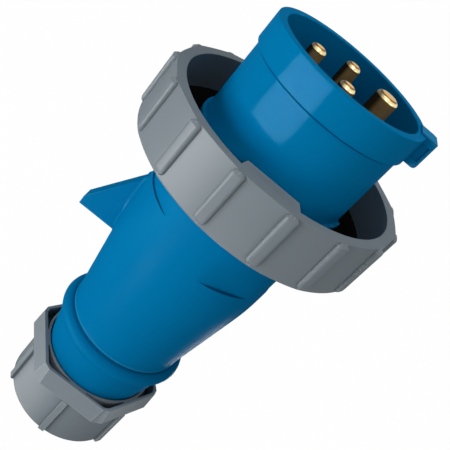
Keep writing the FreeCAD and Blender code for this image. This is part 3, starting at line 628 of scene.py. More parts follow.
class Workshop:
    """Holds the materials and trees, and finishes each piece the same way."""

    def __init__(self) -> None:
        """Builds the shared groups, materials and trees."""
        groups = {make.__name__: make() for make in (moulded_grain, painted_edge_highlight, crevice_shade)}
        self.materials = {slot: finish.build(groups) for slot, finish in FINISHES.items()}
        self.gloss_blue = GLOSS_BLUE.build(groups)
        # The blue of the painted highlight on the ridge
        self.ridge_highlight_blue = RIDGE_HIGHLIGHT_BLUE.build(groups)
        self.trees = {join: spread_tree(join) for join in Join}
        self.pieces: dict[str, Object] = {}

    def spread(self, base: Object, piece: Object, join: Join, count: int = 1,
               first_angle: float = 0.0) -> None:
        """Repeats a piece about the axis and joins it to the base or cuts the base with it.

        Args:
            base: The piece that is added to or cut; it gets a new plain mesh.
            piece: The repeated piece at angle zero; it is used up.
            join: Whether the repeats are added or cut away.
            count: How many repeats there are.
            first_angle: Angle of the first repeat in degrees.
        """
        modifier = base.modifiers.new("spread", "NODES")
        modifier.node_group = self.trees[join]
        values = {"Piece": piece, "Count": count, "First Angle": math.radians(first_angle),
                  "Material": self.materials[Slot.BLUE]}
        for item in self.trees[join].interface.items_tree:
            if item.name in values:
                modifier[item.identifier] = values[item.name]
        plain(base)
        bpy.data.objects.remove(piece)

    def finish(self, item: Object, slot: Slot, body: str, *nodes: str,
               material: Material | None = None, sharp: float = 32.0) -> None:
        """Smooths, paints and hands over a piece.

        Args:
            item: The piece.
            slot: Its material slot.
            body: The body that it rides on.
            *nodes: The CAD nodes that it stands for.
            material: A material of its own, in place of the slot's.
            sharp: Edges that turn more than this many degrees stay crisp.
        """
        item.data.materials.clear()
        item.data.materials.append(material or self.materials[slot])
        item.data.polygons.foreach_set("material_index", [0] * len(item.data.polygons))
        item.data.shade_smooth()
        item.data.set_sharp_from_angle(angle=math.radians(sharp))
        weigh = item.modifiers.new("weighted", "WEIGHTED_NORMAL")
        weigh.keep_sharp = True
        plain(item)
        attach(item, body)
        if nodes:
            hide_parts(*nodes)
        self.pieces[item.name] = item
        log.info("%s rides on %s with %d faces", item.name, body, len(item.data.polygons))


def plain(item: Object) -> None:
    """Turns an object's modifiers into its plain mesh."""
    view = bpy.context.evaluated_depsgraph_get()
    view.update()
    result = bpy.data.meshes.new_from_object(item.evaluated_get(view), preserve_all_data_layers=True,
                                             depsgraph=view)
    item.modifiers.clear()
    item.data = result


# The sub-assemblies


@dataclass
class Sleeve:
    """The blue front moulding: sleeve, key, foot, flange, hub and spigot. Sizes in mm."""

    shop: Workshop
    rim: float = 152.2
    bore: float = 22.4
    floor_bore: float = 22.1
    tube: float = 24.3
    band: float = 25.2
    band_length: float = 8.8
    band_groove: float = 0.55
    groove_depth: float = 0.4
    floor: float = 114.0
    floor_rear: float = 109.0
    foot: float = 25.5
    foot_top: float = 119.8
    foot_rear: float = 118.5
    foot_gap: float = 15.0
    foot_gap_margins: tuple[float, float] = (0.3, 0.8)
    flange: float = 34.6
    flange_top: float = 114.8
    flange_rear: float = 112.0
    hub: float = 27.2
    hub_rear: float = 108.1
    spigot: float = 22.4
    spigot_bore: float = 20.2
    spigot_rear: float = 98.0
    key_reach: float = 28.7
    key_half: float = 3.5
    key_waist: float = 3.1
    key_rear: float = 143.7
    key_front: float = 152.7
    key_pocket: tuple[float, float] = (145.8, 150.5)
    key_outer_web: float = 0.9
    key_chamfer: tuple[float, float] = (1.0, 0.3)
    key_slope: tuple[float, float] = (1.2, 0.12)
    inside_margin: float = 0.2

    def build(self) -> None:
        """Makes the moulding."""
        band_rear = self.rim - self.band_length
        groove = self.tube - self.groove_depth
        shell = turned(SLEEVE, [
            Corner(0, self.floor_rear),
            Corner(self.spigot_bore, self.floor_rear),
            Corner(self.spigot_bore, self.spigot_rear, 0.3),
            Corner(self.spigot, self.spigot_rear, 0.3),
            Corner(self.spigot, self.hub_rear),
            Corner(self.hub, self.hub_rear, 0.2),
            Corner(self.hub, self.flange_rear),
            Corner(self.flange, self.flange_rear, 0.3),
            Corner(self.flange, self.flange_top, 0.3),
            Corner(self.tube, self.flange_top),
            Corner(self.tube, self.foot_rear),
            Corner(self.foot, self.foot_rear, 0.15),
            Corner(self.foot, self.foot_top, 0.3),
            Corner(self.tube, self.foot_top, 0.7),
            Corner(self.tube, band_rear - self.band_groove),
            Corner(groove, band_rear - self.band_groove / 2),
            Corner(groove, band_rear),
            Corner(self.band, band_rear, 0.2),
            Corner(self.band, self.rim, 0.3),
            Corner(self.bore, self.rim, 0.3),
            Corner(self.floor_bore, self.floor, 0.8),
            Corner(0, self.floor),
        ])
        outer = on_arc(self.foot + OVERLAP, -self.foot_gap, self.foot_gap, 8)
        inner = on_arc(self.tube + HAIR, self.foot_gap, -self.foot_gap, 8)
        below, above = self.foot_gap_margins
        opening = prism("foot_gap", outer + inner, self.foot_rear - below, self.foot_top + above)
        self.shop.spread(shell, opening, Join.CUT)
        self.shop.spread(shell, self.key(), Join.ADD)
        self.shop.finish(shell, Slot.BLUE, "plug", "plug_sleeve", material=self.shop.gloss_blue)
        shell.data.materials.append(self.shop.materials[Slot.BLUE])
        inside = (self.bore + self.inside_margin) * MM
        for face in shell.data.polygons:
            if face.center.xy.length < inside and face.center.z > self.floor_rear * MM:
                face.material_index = 1

    def key(self) -> Object:
        """The key of the sleeve, with a pocket in each side."""
        root, reach = self.tube - OVERLAP, self.key_reach
        (run, rise), (slope, drop) = self.key_chamfer, self.key_slope
        outline = [(root, self.key_rear), (reach - run, self.key_rear), (reach - rise, self.key_rear + rise),
                   (reach, self.key_rear + run), (reach, self.key_front - drop),
                   (reach - slope, self.key_front), (root, self.key_front)]
        key = prism("key", outline[::-1], -self.key_half, self.key_half, UPRIGHT, bevel=0.12)
        web = reach - self.key_outer_web
        for side in (-1, 1):
            near, far = sorted((side * self.key_waist, side * (self.key_half + OVERLAP)))
            hollow = [(self.band, near), (web, near), (web, far), (self.band, far)]
            self.shop.spread(key, prism("key_pocket", hollow, *self.key_pocket), Join.CUT)
        return key


@dataclass
class LockingRing:
    """The grey bayonet ring with its ribs and lugs. Sizes in mm."""

    shop: Workshop
    rear: float = 108.4
    front: float = 126.7
    outside: float = 38.45
    outside_rear: float = 38.95
    flat_front: float = 0.65
    flat_rear: float = 0.2
    bore: float = 35.4
    lip: float = 27.5
    lip_front: float = 111.7
    rib_count: int = 15
    rib_radius: float = 1.85
    rib_centre: float = 38.33
    rib_rear: float = 109.1
    rib_front: float = 126.62
    rib_bevel: float = 0.8
    lug_chord: float = 30.4
    lug_half: float = 14.8
    lug_rear: float = 122.7
    lug_setback: float = 0.001
    face_rim: float = 0.5

    def build(self) -> None:
        """Makes the ring."""
        ring = turned(RING, [
            Corner(self.lip, self.rear, 0.2),
            Corner(self.outside_rear, self.rear, 0.6),
            Corner(self.outside, self.front, 0.15),
            Corner(self.outside - self.face_rim, self.front),
            Corner(self.bore + self.face_rim, self.front),
            Corner(self.bore, self.front, 0.15),
            Corner(self.bore, self.lip_front, 0.4),
            Corner(self.lip, self.lip_front, 0.2),
        ], spans=240, reshape=self.flatten)
        self.shop.spread(ring, self.rib(), Join.ADD, self.rib_count, 90.0)
        self.shop.spread(ring, self.lug(), Join.ADD, 2, 90.0)
        self.shop.finish(ring, Slot.GREY, "ring", "locking_ring")

    def flatten(self, radius: float, height: float, angle: float) -> float:
        """Gives the outside a flat panel between each two ribs.

        Args:
            radius: Radius of the plain profile in mm.
            height: Height in mm.
            angle: Angle about the axis in degrees.

        Returns:
            The radius of the shaped surface in mm.
        """
        if radius < self.bore + OVERLAP:
            return radius
        panel = 360 / self.rib_count
        off = (angle - 90.0) % panel - panel / 2
        rise = (height - self.rear) / (self.front - self.rear)
        share = self.flat_rear + (self.flat_front - self.flat_rear) * rise
        return radius * (1 + share * (1 / math.cos(math.radians(off)) - 1))

    @staticmethod
    def square_off(radius: float, _height: float, angle: float) -> float:
        """Swells a round rib towards a square, for crisper flanks."""
        spin = math.radians(angle)
        return radius * (abs(math.cos(spin)) ** 4 + abs(math.sin(spin)) ** 4) ** (-1 / 4)

    def rib(self) -> Object:
        """One grip rib at angle zero: a bar with a domed rear end."""
        dome = self.rib_rear + self.rib_radius
        rib = turned("rib", [
            Corner(0, self.rib_rear),
            *bow(Corner(0, self.rib_rear), Corner(self.rib_radius, dome), self.rib_radius, 8),
            Corner(self.rib_radius, dome),
            Corner(self.rib_radius, self.rib_front - self.rib_bevel, 0.1),
            Corner(self.rib_radius - self.rib_bevel, self.rib_front),
            Corner(0, self.rib_front),
        ], spans=48, reshape=self.square_off)
        rib.data.transform(Matrix.Translation((self.rib_centre * MM, 0, 0)))
        return rib

    def lug(self) -> Object:
        """One bayonet lug at angle zero, with a flat inner side."""
        half = self.lug_chord * math.tan(math.radians(self.lug_half))
        outer = on_arc(self.bore + OVERLAP, -self.lug_half, self.lug_half, 8)
        outline = [(self.lug_chord, -half), *outer, (self.lug_chord, half)]
        return prism("lug", outline, self.lug_rear, self.front - self.lug_setback, bevel=0.3)


@dataclass
class Handle:
    """The blue handle with its neck, bead, taper, recesses and hook. Sizes in mm.

    The thread's halves are half its widths at the foot and at the crest. A scoop is the height of its
    step, its depth and its length. The root's fades are the lengths over which the fillet at the
    hook's root runs out at its front and at its rear.
    """

    shop: Workshop
    neck_end: float = 12.0
    neck_bore: float = 14.8
    thread_core: float = 17.3
    thread_crest: float = 18.3
    thread_pitch: float = 3.0
    thread_halves: tuple[float, float] = (1.2, 0.45)
    thread_sink: float = 0.15
    thread_ends: tuple[float, float] = (1.4, 1.3)
    skirt: float = 22.5
    neck: float = 18.74
    nut_top: float = 24.7
    swell_end: Corner = Corner(20.75, 36.9, 0.5)
    swell_bow: float = 50.0
    bead_crest: Corner = Corner(22.8, 39.5)
    bead_bow: float = 2.88
    groove: Corner = Corner(19.95, 42.1, 0.25)
    ridge: tuple[Corner, ...] = (Corner(20.4, 42.85, 0.12), Corner(20.4, 43.25, 0.1), Corner(20.25, 43.7))
    taper_foot: Corner = Corner(20.1, 43.0)
    taper_top: Corner = Corner(24.0, 73.0)
    taper_spans: int = 12
    grip: float = 24.75
    grip_rear: float = 84.0
    grip_bow: float = 82.0
    flare_foot: float = 104.0
    flare: Corner = Corner(30.0, 105.1)
    flare_bow: float = -5.6
    front: float = 108.1
    seat: float = 22.5
    shelf: float = 97.5
    cavity: float = 22.05
    cavity_waist: float = 21.3
    cavity_foot: float = 17.4
    web: tuple[float, float] = (26.0, 30.0)
    web_bore: float = 12.5
    shaped_span: tuple[float, float] = (68.0, 103.0)
    shaped_depth: float = 1.5
    scoop_step: float = 0.12
    front_scoop: tuple[float, float, float] = (87.3, 1.0, 13.0)
    front_scoop_angles: tuple[float, ...] = (-60, 0, 60)
    front_scoop_half: float = 22.0
    hook_scoop: tuple[float, float, float] = (94.4, 0.55, 9.0)
    hook_scoop_span: tuple[float, float] = (125.0, 174.0)
    hook_scoop_ends: tuple[float, float] = (12.0, 3.0)
    hook_half: float = 2.5
    hook_outline: tuple = ((-22.9, 91.0), (-22.9, 68.5), (-36.3, 68.5), (-36.3, 71.5), (-24.2, 90.6))
    root_span: tuple[float, float] = (68.2, 91.0)
    root_fades: tuple[float, float] = (1.5, 0.6)
    root_fillet: float = 1.0
    # Heights between which the ridge's faces get the painted highlight
    ridge_highlight_span: tuple[float, float] = (42.7, 43.4)
    ridge_inner: float = 20.2

    def build(self) -> None:
        """Makes the handle and the thread on its neck."""
        neck, grip = Corner(self.neck, self.nut_top), Corner(self.grip, self.grip_rear)
        foot, top = self.taper_foot, self.taper_top
        shares = [i / self.taper_spans for i in range(1, self.taper_spans)]
        body = turned(HANDLE, [
            Corner(self.neck_bore, self.neck_end, 0.3),
            Corner(self.thread_core, self.neck_end, 0.8),
            Corner(self.thread_core, self.skirt),
            Corner(self.neck, self.skirt, 0.3),
            neck,
            *bow(neck, self.swell_end, self.swell_bow, 12)[:-1],
            self.swell_end,
            *bow(self.swell_end, self.bead_crest, self.bead_bow, 7)[1:],
            self.bead_crest,
            *bow(self.bead_crest, self.groove, self.bead_bow, 8)[:-1],
            self.groove,
            *self.ridge,
            *[Corner(foot.r + (top.r - foot.r) * share, foot.z + (top.z - foot.z) * share)
              for share in shares],
            top,
            *bow(top, grip, self.grip_bow, 6),
            grip,
            *[Corner(self.grip, z) for z in self.rows()],
            *bow(Corner(self.grip, self.flare_foot), self.flare, self.flare_bow, 10),
            self.flare,
            Corner(self.flare.r, self.front, 0.3),
            Corner(self.seat, self.front, 0.2),
            Corner(self.seat, self.shelf),
            Corner(self.cavity, self.shelf),
            Corner(self.cavity, self.grip_rear),
            Corner(self.cavity_waist, top.z),
            Corner(self.cavity_foot, foot.z),
            Corner(self.cavity_foot, self.web[1]),
            Corner(self.web_bore, self.web[1]),
            Corner(self.web_bore, self.web[0]),
            Corner(self.neck_bore, self.web[0]),
        ], reshape=self.reshape, angles=self.angles())
        hook = prism("hook", self.hook_outline[::-1], -self.hook_half, self.hook_half, UPRIGHT, bevel=0.35)
        self.shop.spread(body, hook, Join.ADD)
        self.shop.finish(self.thread(), Slot.BLUE, "plug")
        self.shop.finish(body, Slot.BLUE, "plug", "handle_housing")
        # Faces of the ridge get the lighter blue of a painted highlight line
        body.data.materials.append(self.shop.ridge_highlight_blue)
        low, high = self.ridge_highlight_span
        for face in body.data.polygons:
            if low * MM < face.center.z < high * MM and face.center.xy.length > self.ridge_inner * MM:
                face.material_index = 1

    def thread(self, spans_per_turn: int = 60, run_in_spans: int = 12) -> Object:
        """The thread on the neck that the nut runs on.

        Args:
            spans_per_turn: How many spans a turn has.
            run_in_spans: How many spans each end takes to rise from the core.

        Returns:
            The helical ridge.
        """
        core, crest = self.thread_core - self.thread_sink, self.thread_crest
        wide, narrow = self.thread_halves
        section = [(core, -wide), (crest, -narrow), (crest, narrow), (core, wide)]
        low, high = self.neck_end + self.thread_ends[0], self.skirt - self.thread_ends[1]
        spans = math.ceil((high - low) / self.thread_pitch * spans_per_turn)
        mesh = bmesh.new()
        columns = []
        for index in range(spans + 1):
            run_in = held(min(index, spans - index) / run_in_spans)
            column = []
            for radius, offset in section:
                x, y = around(core + (radius - core) * max(run_in, 0.05), math.tau * index / spans_per_turn)
                height = low + self.thread_pitch * index / spans_per_turn + offset
                column.append(mesh.verts.new((x * MM, y * MM, height * MM)))
            columns.append(column)
        for here, there in zip(columns, columns[1:]):
            for side in range(4):
                follower = (side + 1) % 4
                mesh.faces.new((here[side], here[follower], there[follower], there[side]))
        mesh.faces.new(columns[0])
        mesh.faces.new(reversed(columns[-1]))
        bmesh.ops.recalc_face_normals(mesh, faces=mesh.faces)
        return as_object("neck_thread", mesh)

    def rows(self) -> list[float]:
        """Heights of the profile's points along the grip, close together at the recess steps."""
        rows = {round(self.grip_rear + 0.5 * i, 3) for i in range(1, 35)}
        for step, _, _ in (self.front_scoop, self.hook_scoop):
            rows |= {step - self.scoop_step, step - self.scoop_step / 2, step}
        return sorted(rows)

    def angles(self) -> list[float]:
        """Angles of the spans around the axis, close together at the root of the hook."""
        angles = {round(1.25 * i, 3) for i in range(288)}
        for side in (-1, 1):
            angles |= {round(180 + side * (5.6 + 0.25 * i), 3) for i in range(12)}
        return sorted(angles)

    def reshape(self, radius: float, height: float, angle: float) -> float:
        """Cuts the recesses and raises the root of the hook.

        Args:
            radius: Radius of the plain profile in mm.
            height: Height in mm.
            angle: Angle about the axis in degrees.

        Returns:
            The radius of the shaped surface in mm.
        """
        low, high = self.shaped_span
        if not low < height < high or radius < self.grip - self.shaped_depth:
            return radius
        for turn in self.front_scoop_angles:
            off = abs((angle - turn + 180) % 360 - 180) / self.front_scoop_half
            if off < 1:
                radius -= self.scooped(self.front_scoop, height) * math.cos(math.pi / 2 * off) ** 1.2
        first, last = self.hook_scoop_span
        long_end, short_end = self.hook_scoop_ends
        turn = min(angle, 360.0 - angle)
        if first < turn < last:
            edge = min(1.0, (turn - first) / long_end) ** 0.5 * min(1.0, (last - turn) / short_end)
            radius -= self.scooped(self.hook_scoop, height) * edge
        low, high = self.root_span
        side = abs(radius * math.sin(math.radians(angle))) - self.hook_half
        if math.cos(math.radians(angle)) < 0 and height < high and 0 <= side < self.root_fillet:
            front, rear = self.root_fades
            fade = held((high - height) / front) * held((height - low) / rear)
            rise = self.root_fillet - math.sqrt(self.root_fillet ** 2 - (self.root_fillet - side) ** 2)
            radius += rise * fade
        return radius

    def scooped(self, scoop: tuple[float, float, float], height: float) -> float:
        """Depth of a recess at a height: a step at its rear that runs out towards the front."""
        step, depth, length = scoop
        if not step - 0.1 < height < step + length:
            return 0.0
        rise = (height - step) / length
        return depth * (1 - rise) * min(1.0, (height - step + self.scoop_step) / self.scoop_step)


@dataclass
class GlandNut:
    """The grey cap nut of the gland. Sizes in mm."""

    shop: Workshop
    length: float = 24.7
    cap: float = 20.9
    flange: float = 18.0
    flat: float = 21.2
    corner_cut: float = 0.7
    rear_flat: float = 21.85
    rear_cut: float = 1.15
    tube: float = 20.0
    tube_bore: float = 19.3
    collar_floor: float = 21.0
    thread_bore: float = 18.6
    seat_top: float = 9.2
    seat_bore: float = 16.4
    wall: float = 3.0
    mouth: float = 9.5
    hex_wall: float = 1.1
    pocket_floor: float = 19.5
    pocket_half: float = 21.0
    rib_width: float = 2.1
    rib_reach: float = 22.0
    rib_start: float = 0.8
    cap_round: float = 1.6
    rib_root: float = 1.6
    rib_edge: float = 0.5
    mouth_flare: tuple[float, float] = (2.2, 1.2)

    def build(self) -> None:
        """Makes the nut."""
        nut = turned(NUT, [
            Corner(0, 0),
            Corner(self.cap, 0, self.cap_round),
            Corner(self.cap, self.flange + OVERLAP),
            Corner(0, self.flange + OVERLAP),
        ], spans=120)
        hexagon = prism("hexagon", self.hexagon(self.rear_flat, self.rear_cut), self.flange, self.length,
                        bevel=0.25, top=self.hexagon(self.flat, self.corner_cut))
        self.shop.spread(nut, hexagon, Join.ADD)
        self.shop.spread(nut, self.rib(), Join.ADD, 6, 30.0)
        self.shop.spread(nut, self.pocket(), Join.CUT, 6)
        self.shop.spread(nut, self.bore(), Join.CUT)
        self.shop.finish(nut, Slot.GREY, "nut", "gland_nut", sharp=24.0)

    @staticmethod
    def hexagon(flat: float, cut: float) -> list[tuple[float, float]]:
        """The outline of a hexagon with its corners cut square.

        Args:
            flat: Distance of its sides from the axis.
            cut: Length that is cut from each corner.

        Returns:
            Its twelve corners.
        """
        reach = flat / math.cos(math.radians(30)) - cut
        half = cut * math.tan(math.radians(60))
        corners = []
        for turn in range(0, 360, 60):
            cos, sin = around(1.0, math.radians(turn))
            corners += [(reach * cos - side * half * sin, reach * sin + side * half * cos)
                        for side in (-1, 1)]
        return corners

    def pocket(self) -> Object:
        """The pocket between the tube and one corner of the hexagon, at angle zero."""
        cos = math.cos(math.radians(30))
        wall = self.flat - self.hex_wall
        edge = self.flat / cos - self.corner_cut - self.hex_wall
        side = (wall / cos - edge) * math.tan(math.radians(60))
        shore = wall / math.cos(math.radians(30 - self.pocket_half))
        first, last = (around(shore, math.radians(turn)) for turn in (-self.pocket_half, self.pocket_half))
        outline = [first, (edge, -side), (edge, side), last,
                   *on_arc(self.tube, self.pocket_half, -self.pocket_half, 12)]
        return prism("pocket", outline, self.pocket_floor, self.length + OVERLAP)

    def rib(self) -> Object:
        """One grip rib of the cap, at angle zero."""
        root, top, edge = self.cap - self.rib_root, self.flange + HAIR, self.rib_edge
        outline = [(root, self.rib_start), (self.rib_reach - edge, self.rib_start),
                   (self.rib_reach, self.rib_start + edge), (self.rib_reach, self.flange - edge),
                   (self.flat, top), (root, top)]
        half = self.rib_width / 2
        return prism("nut_rib", outline[::-1], -half, half, UPRIGHT, bevel=0.3)

    def bore(self) -> Object:
        """The hollow of the nut as a solid to cut with."""
        widening, depth = self.mouth_flare
        return turned("nut_bore", [
            Corner(0, -OVERLAP),
            Corner(self.mouth + widening, -OVERLAP),
            Corner(self.mouth, depth),
            Corner(self.mouth, self.wall),
            Corner(self.seat_bore, self.wall),
            Corner(self.seat_bore, self.seat_top),
            Corner(self.thread_bore, self.seat_top),
            Corner(self.thread_bore, self.collar_floor),
            Corner(self.tube_bore, self.collar_floor),
            Corner(self.tube_bore, self.length + OVERLAP),
            Corner(0, self.length + OVERLAP),
        ])


@dataclass
class Contacts:
    """The four brass contacts. Sizes in mm.

    A pin is its CAD node, its radius, the height of its tip and its angle on the circle.
    """

    shop: Workshop
    circle: float = 11.0
    floor: float = 113.8
    root_rise: float = 0.4
    root_length: float = 0.5
    tip_round: float = 1.5
    barrel_wall: float = 1.5
    barrel_rear: float = 88.0
    barrel_front: float = 102.0
    wire_bore: float = 2.1
    wire_end: float = 99.0
    pins: tuple = (("earth_pin", 3.5, 153.5, 0.0), ("line_pin_1", 2.5, 151.5, 90.0),
                   ("line_pin_2", 2.5, 151.5, 180.0), ("line_pin_3", 2.5, 151.5, 270.0))

    def build(self) -> None:
        """Makes the contacts."""
        root = self.floor + self.root_length
        for node, radius, tip, angle in self.pins:
            foot, barrel = radius + self.root_rise, radius + self.barrel_wall
            pin = turned("brass_" + node, [
                Corner(0, self.wire_end),
                Corner(self.wire_bore, self.wire_end),
                Corner(self.wire_bore, self.barrel_rear, 0.2),
                Corner(barrel, self.barrel_rear, 0.3),
                Corner(barrel, self.barrel_front, 0.3),
                Corner(foot, self.barrel_front),
                Corner(foot, root, 0.1),
                Corner(radius, root),
                Corner(radius, tip, self.tip_round),
                Corner(0, tip),
            ], spans=64)
            x, y = around(self.circle, math.radians(angle))
            pin.data.transform(Matrix.Translation((x * MM, y * MM, 0)))
            self.shop.finish(pin, Slot.BRASS, "plug", node)


@dataclass
class Rubber:
    """The front gasket and the grommet of the gland. Sizes in mm."""

    shop: Workshop
    gasket: tuple[float, float, float, float] = (24.3, 29.3, 114.8, 118.7)
    skirt: tuple[float, float] = (34.3, 115.5)
    grommet: tuple[float, float, float, float] = (6.0, 10.4, 4.6, 24.0)

    def build(self) -> None:
        """Makes the two rubber pieces."""
        inner, outer, low, high = self.gasket
        edge, step = self.skirt
        gasket = turned(GASKET, [
            Corner(inner, low), Corner(edge, low, 0.2), Corner(edge, step, 0.2), Corner(outer, step, 0.3),
            Corner(outer, high, 0.5), Corner(inner, high)])
        self.shop.finish(gasket, Slot.RUBBER, "plug", "front_gasket")
        inner, outer, low, high = self.grommet
        grommet = turned("rubber_grommet", [
            Corner(inner, low, 0.4), Corner(outer, low, 1.0), Corner(outer, high), Corner(inner, high)])
        self.shop.finish(grommet, Slot.RUBBER, "plug", "cable_grommet")


# The studio


@dataclass(frozen=True)
class Lamp:
    """A soft box. Places and sizes in metres.

    Attributes:
        name: Name of the lamp.
        place: Its centre.
        aim: The point that it faces.
        size: Its width and height.
        power: Its power in watts.
        color: Its colour.
        shines_on: The only pieces that it lights, where it has such.
        through_floor: Whether the floor lets it pass.
        diffuse: Whether it also lights those pieces, and isn't only mirrored in them.
        spares: The one piece that it leaves dark, where it has such.
        spread: Opening of its beam in degrees.
    """

    name: str
    place: tuple[float, float, float]
    aim: tuple[float, float, float]
    size: tuple[float, float]
    power: float
    color: tuple[float, float, float] = (1.0, 1.0, 1.0)
    shines_on: tuple[str, ...] = ()
    through_floor: bool = False
    diffuse: bool = False
    spares: str = ""
    spread: float = 180.0

    def build(self, pieces: dict[str, Object]) -> None:
        """Puts the lamp into the scene.

        Args:
            pieces: The finished pieces by name.
        """
        data = bpy.data.lights.new(self.name, "AREA")
        data.shape = "RECTANGLE"
        data.size, data.size_y = self.size
        data.energy = self.power
        data.color = self.color
        data.spread = math.radians(self.spread)
        item = bpy.data.objects.new(self.name, data)
        bpy.context.scene.collection.objects.link(item)
        item.location = self.place
        way = Vector(self.aim) - Vector(self.place)
        item.rotation_euler = way.to_track_quat("-Z", "Y").to_euler()
        if self.spares:
            spared = bpy.data.collections.new(self.name + "_spared")
            spared.objects.link(pieces[self.spares])
            spared.collection_objects[0].light_linking.link_state = "EXCLUDE"
            item.light_linking.receiver_collection = spared
        if self.shines_on:
            item.visible_diffuse = self.diffuse
            chosen = bpy.data.collections.new(self.name + "_pieces")
            for piece in self.shines_on:
                chosen.objects.link(pieces[piece])
            item.light_linking.receiver_collection = chosen
            if self.through_floor:
                item.light_linking.blocker_collection = chosen


LAMPS = (
    Lamp("window", (-0.185, -0.225, 0.056), (-0.009, -0.023, 0.14), (0.32, 0.06), 11.5,
         (0.2, 0.75, 0.76), shines_on=(SLEEVE,)),
    Lamp("handle_glow", (-0.16, -0.08, 0.03), (-0.014, -0.02, 0.07), (0.12, 0.08), 2.6,
         (0.1, 0.8, 0.95), shines_on=(HANDLE,)),
    Lamp("handle_spot", (-0.09, -0.115, -0.02), (-0.009, -0.023, 0.088), (0.05, 0.06), 0.3,
         (0.8, 1.0, 0.7), shines_on=(HANDLE,), through_floor=True),
    Lamp("handle_edge", (0.115, 0.11, -0.07), (0.019, -0.012, 0.06), (0.05, 0.05), 0.7,
         shines_on=(HANDLE,), through_floor=True),
    Lamp("rib_glow", (0.02, -0.3, -0.12), (0.02, -0.03, 0.118), (0.08, 0.08), 2.5,
         shines_on=(RING,), through_floor=True),
    Lamp("ring_glow", (-0.174, -0.135, 0.031), (-0.019, -0.034, 0.118), (0.12, 0.12), 5.0,
         shines_on=(RING,)),
    Lamp("nut_glow", (-0.104, -0.057, -0.101), (-0.013, -0.02, 0.01), (0.16, 0.16), 2.6,
         shines_on=(NUT,), through_floor=True),
    Lamp("key", (-0.24, -0.25, 0.08), (0, 0, 0.08), (0.3, 0.15), 0.74, spares=HANDLE),
    Lamp("handle_key", (-0.23, -0.255, 0.12), (0, 0, 0.07), (0.3, 0.15), 0.7,
         shines_on=(HANDLE,), diffuse=True),
    Lamp("foot_glow", (-0.11, -0.26, 0.123), (-0.004, -0.024, 0.121), (0.05, 0.012), 0.0007,
         shines_on=(SLEEVE,), through_floor=True, diffuse=True, spread=8.0),
    Lamp("pin_glow", (0.0, -0.2, 0.33), (0, 0, 0.15), (0.05, 0.05), 0.4, shines_on=PINS, diffuse=True),
    Lamp("sleeve_top", (-0.2, -0.3, 0.45), (0, 0, 0.13), (0.2, 0.2), 0.08, shines_on=(SLEEVE,),
         diffuse=True),
    Lamp("fill", (0.8, -0.5, 0.5), (0, 0, 0.1), (0.6, 0.6), 1.7, shines_on=(SLEEVE, GASKET, *PINS),
         diffuse=True),
    Lamp("grey_fill", (0.8, -0.5, 0.5), (0, 0, 0.1), (0.6, 0.6), 2.4, shines_on=(RING, NUT),
         diffuse=True),
    Lamp("handle_fill", (0.9, -0.55, 0.3), (0, 0, 0.1), (0.6, 0.6), 0.45, shines_on=(HANDLE,),
         diffuse=True),
    Lamp("overhead", (0.0, 0.05, 0.65), (0, 0, 0.12), (0.25, 0.25), 1.0),
    Lamp("nut_top", (-0.16, -0.1, 0.2), (0, 0, 0.02), (0.05, 0.05), 0.06, shines_on=(NUT,),
         diffuse=True),
)


def white_to_camera(tree: NodeTree, lit: Node, white: Node, share: float, end: Node) -> None:
    """Shows plain white to the camera and in reflections, and a lit shader to all other rays.

    Args:
        tree: Node tree of the world or of the floor's material.
        lit: The shader for other rays.
        white: The white shader.
        share: Share of the white where it is seen.
        end: The output node.
    """
    path = add_node(tree, "ShaderNodeLightPath").outputs
    shiny = reckon(tree, "MAXIMUM", path["Is Glossy Ray"], path["Is Transmission Ray"])
    seen = reckon(tree, "MAXIMUM", path["Is Camera Ray"], shiny)
    mix = add_node(tree, "ShaderNodeMixShader", in_0=reckon(tree, "MULTIPLY", seen, share),
                   in_1=lit.outputs[0], in_2=white.outputs[0])
    set_inputs(tree, end, at_Surface=mix.outputs[0])


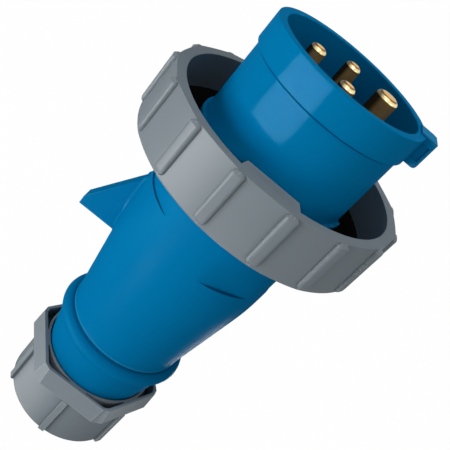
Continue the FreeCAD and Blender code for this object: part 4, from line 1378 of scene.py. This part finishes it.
@dataclass
class Studio:
    """Camera, floor and world. Places in metres."""

    eye: Vector = field(default_factory=lambda: Vector((-0.02049, -0.18591, 0.19184)))
    forward: Vector = field(default_factory=lambda: Vector((0.10617, 0.87826, -0.46626)))
    upward: Vector = field(default_factory=lambda: Vector((-0.62962, 0.42231, 0.65211)))
    lens: float = 56.6

    def camera(self) -> None:
        """Sets the camera at the photograph's place."""
        data = bpy.data.cameras.new("camera")
        data.lens = self.lens
        data.sensor_width = 36.0
        data.clip_start = 0.005
        item = bpy.data.objects.new("camera", data)
        bpy.context.scene.collection.objects.link(item)
        back = -self.forward.normalized()
        right = self.upward.cross(back).normalized()
        above = back.cross(right)
        turn = Matrix((right, above, back)).transposed()
        item.matrix_world = Matrix.Translation(self.eye) @ turn.to_4x4()
        bpy.context.scene.camera = item

    def world(self) -> None:
        """A plain pale world that is white to the camera and in reflections."""
        world = bpy.data.worlds.new("studio")
        world.use_nodes = True
        tree = world.node_tree
        pale = tree.nodes["Background"]
        set_inputs(tree, pale, at_Color=WHITE, at_Strength=0.2)
        white = add_node(tree, "ShaderNodeBackground", at_Color=WHITE, at_Strength=1.0)
        white_to_camera(tree, pale, white, 1.0, tree.nodes["World Output"])
        bpy.context.scene.world = world

    def floor(self) -> None:
        """A plain white floor under the plug."""
        mesh = bmesh.new()
        bmesh.ops.create_circle(mesh, cap_ends=True, radius=6.0, segments=96)
        item = as_object("floor", mesh)
        item.location.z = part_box("gland_nut")[0].z - 0.0002
        material, tree, surface = new_material("white_floor")
        set_inputs(tree, surface, at_Base_Color=(0.85, 0.85, 0.85, 1), at_Roughness=0.9)
        glow = add_node(tree, "ShaderNodeEmission", at_Color=WHITE, at_Strength=1.0)
        white_to_camera(tree, surface, glow, 0.99, tree.nodes["Material Output"])
        item.data.materials.append(material)

    def build(self, pieces: dict[str, Object]) -> None:
        """Sets up the whole studio.

        Args:
            pieces: The finished pieces by name.
        """
        self.camera()
        self.world()
        self.floor()
        for lamp in LAMPS:
            lamp.build(pieces)
        bpy.context.scene.view_settings.view_transform = "Standard"


def dress_hidden(shop: Workshop) -> None:
    """Gives every CAD node the material of its slot."""
    slots = {entry["node"]: Slot(entry["material_slot"]) for entry in frame["record"]["subparts"]}
    for name, node in frame["nodes"].items():
        node.data.materials.clear()
        node.data.materials.append(shop.materials[slots[name]])


def main() -> None:
    """Builds the plug piece by piece and then the studio."""
    logging.basicConfig(level=logging.INFO, format="%(name)s: %(message)s")
    shop = Workshop()
    dress_hidden(shop)
    for maker in (Sleeve, LockingRing, Handle, GlandNut, Contacts, Rubber):
        maker(shop).build()
    Studio().build(shop.pieces)


if __name__ == "__main__":
    main()
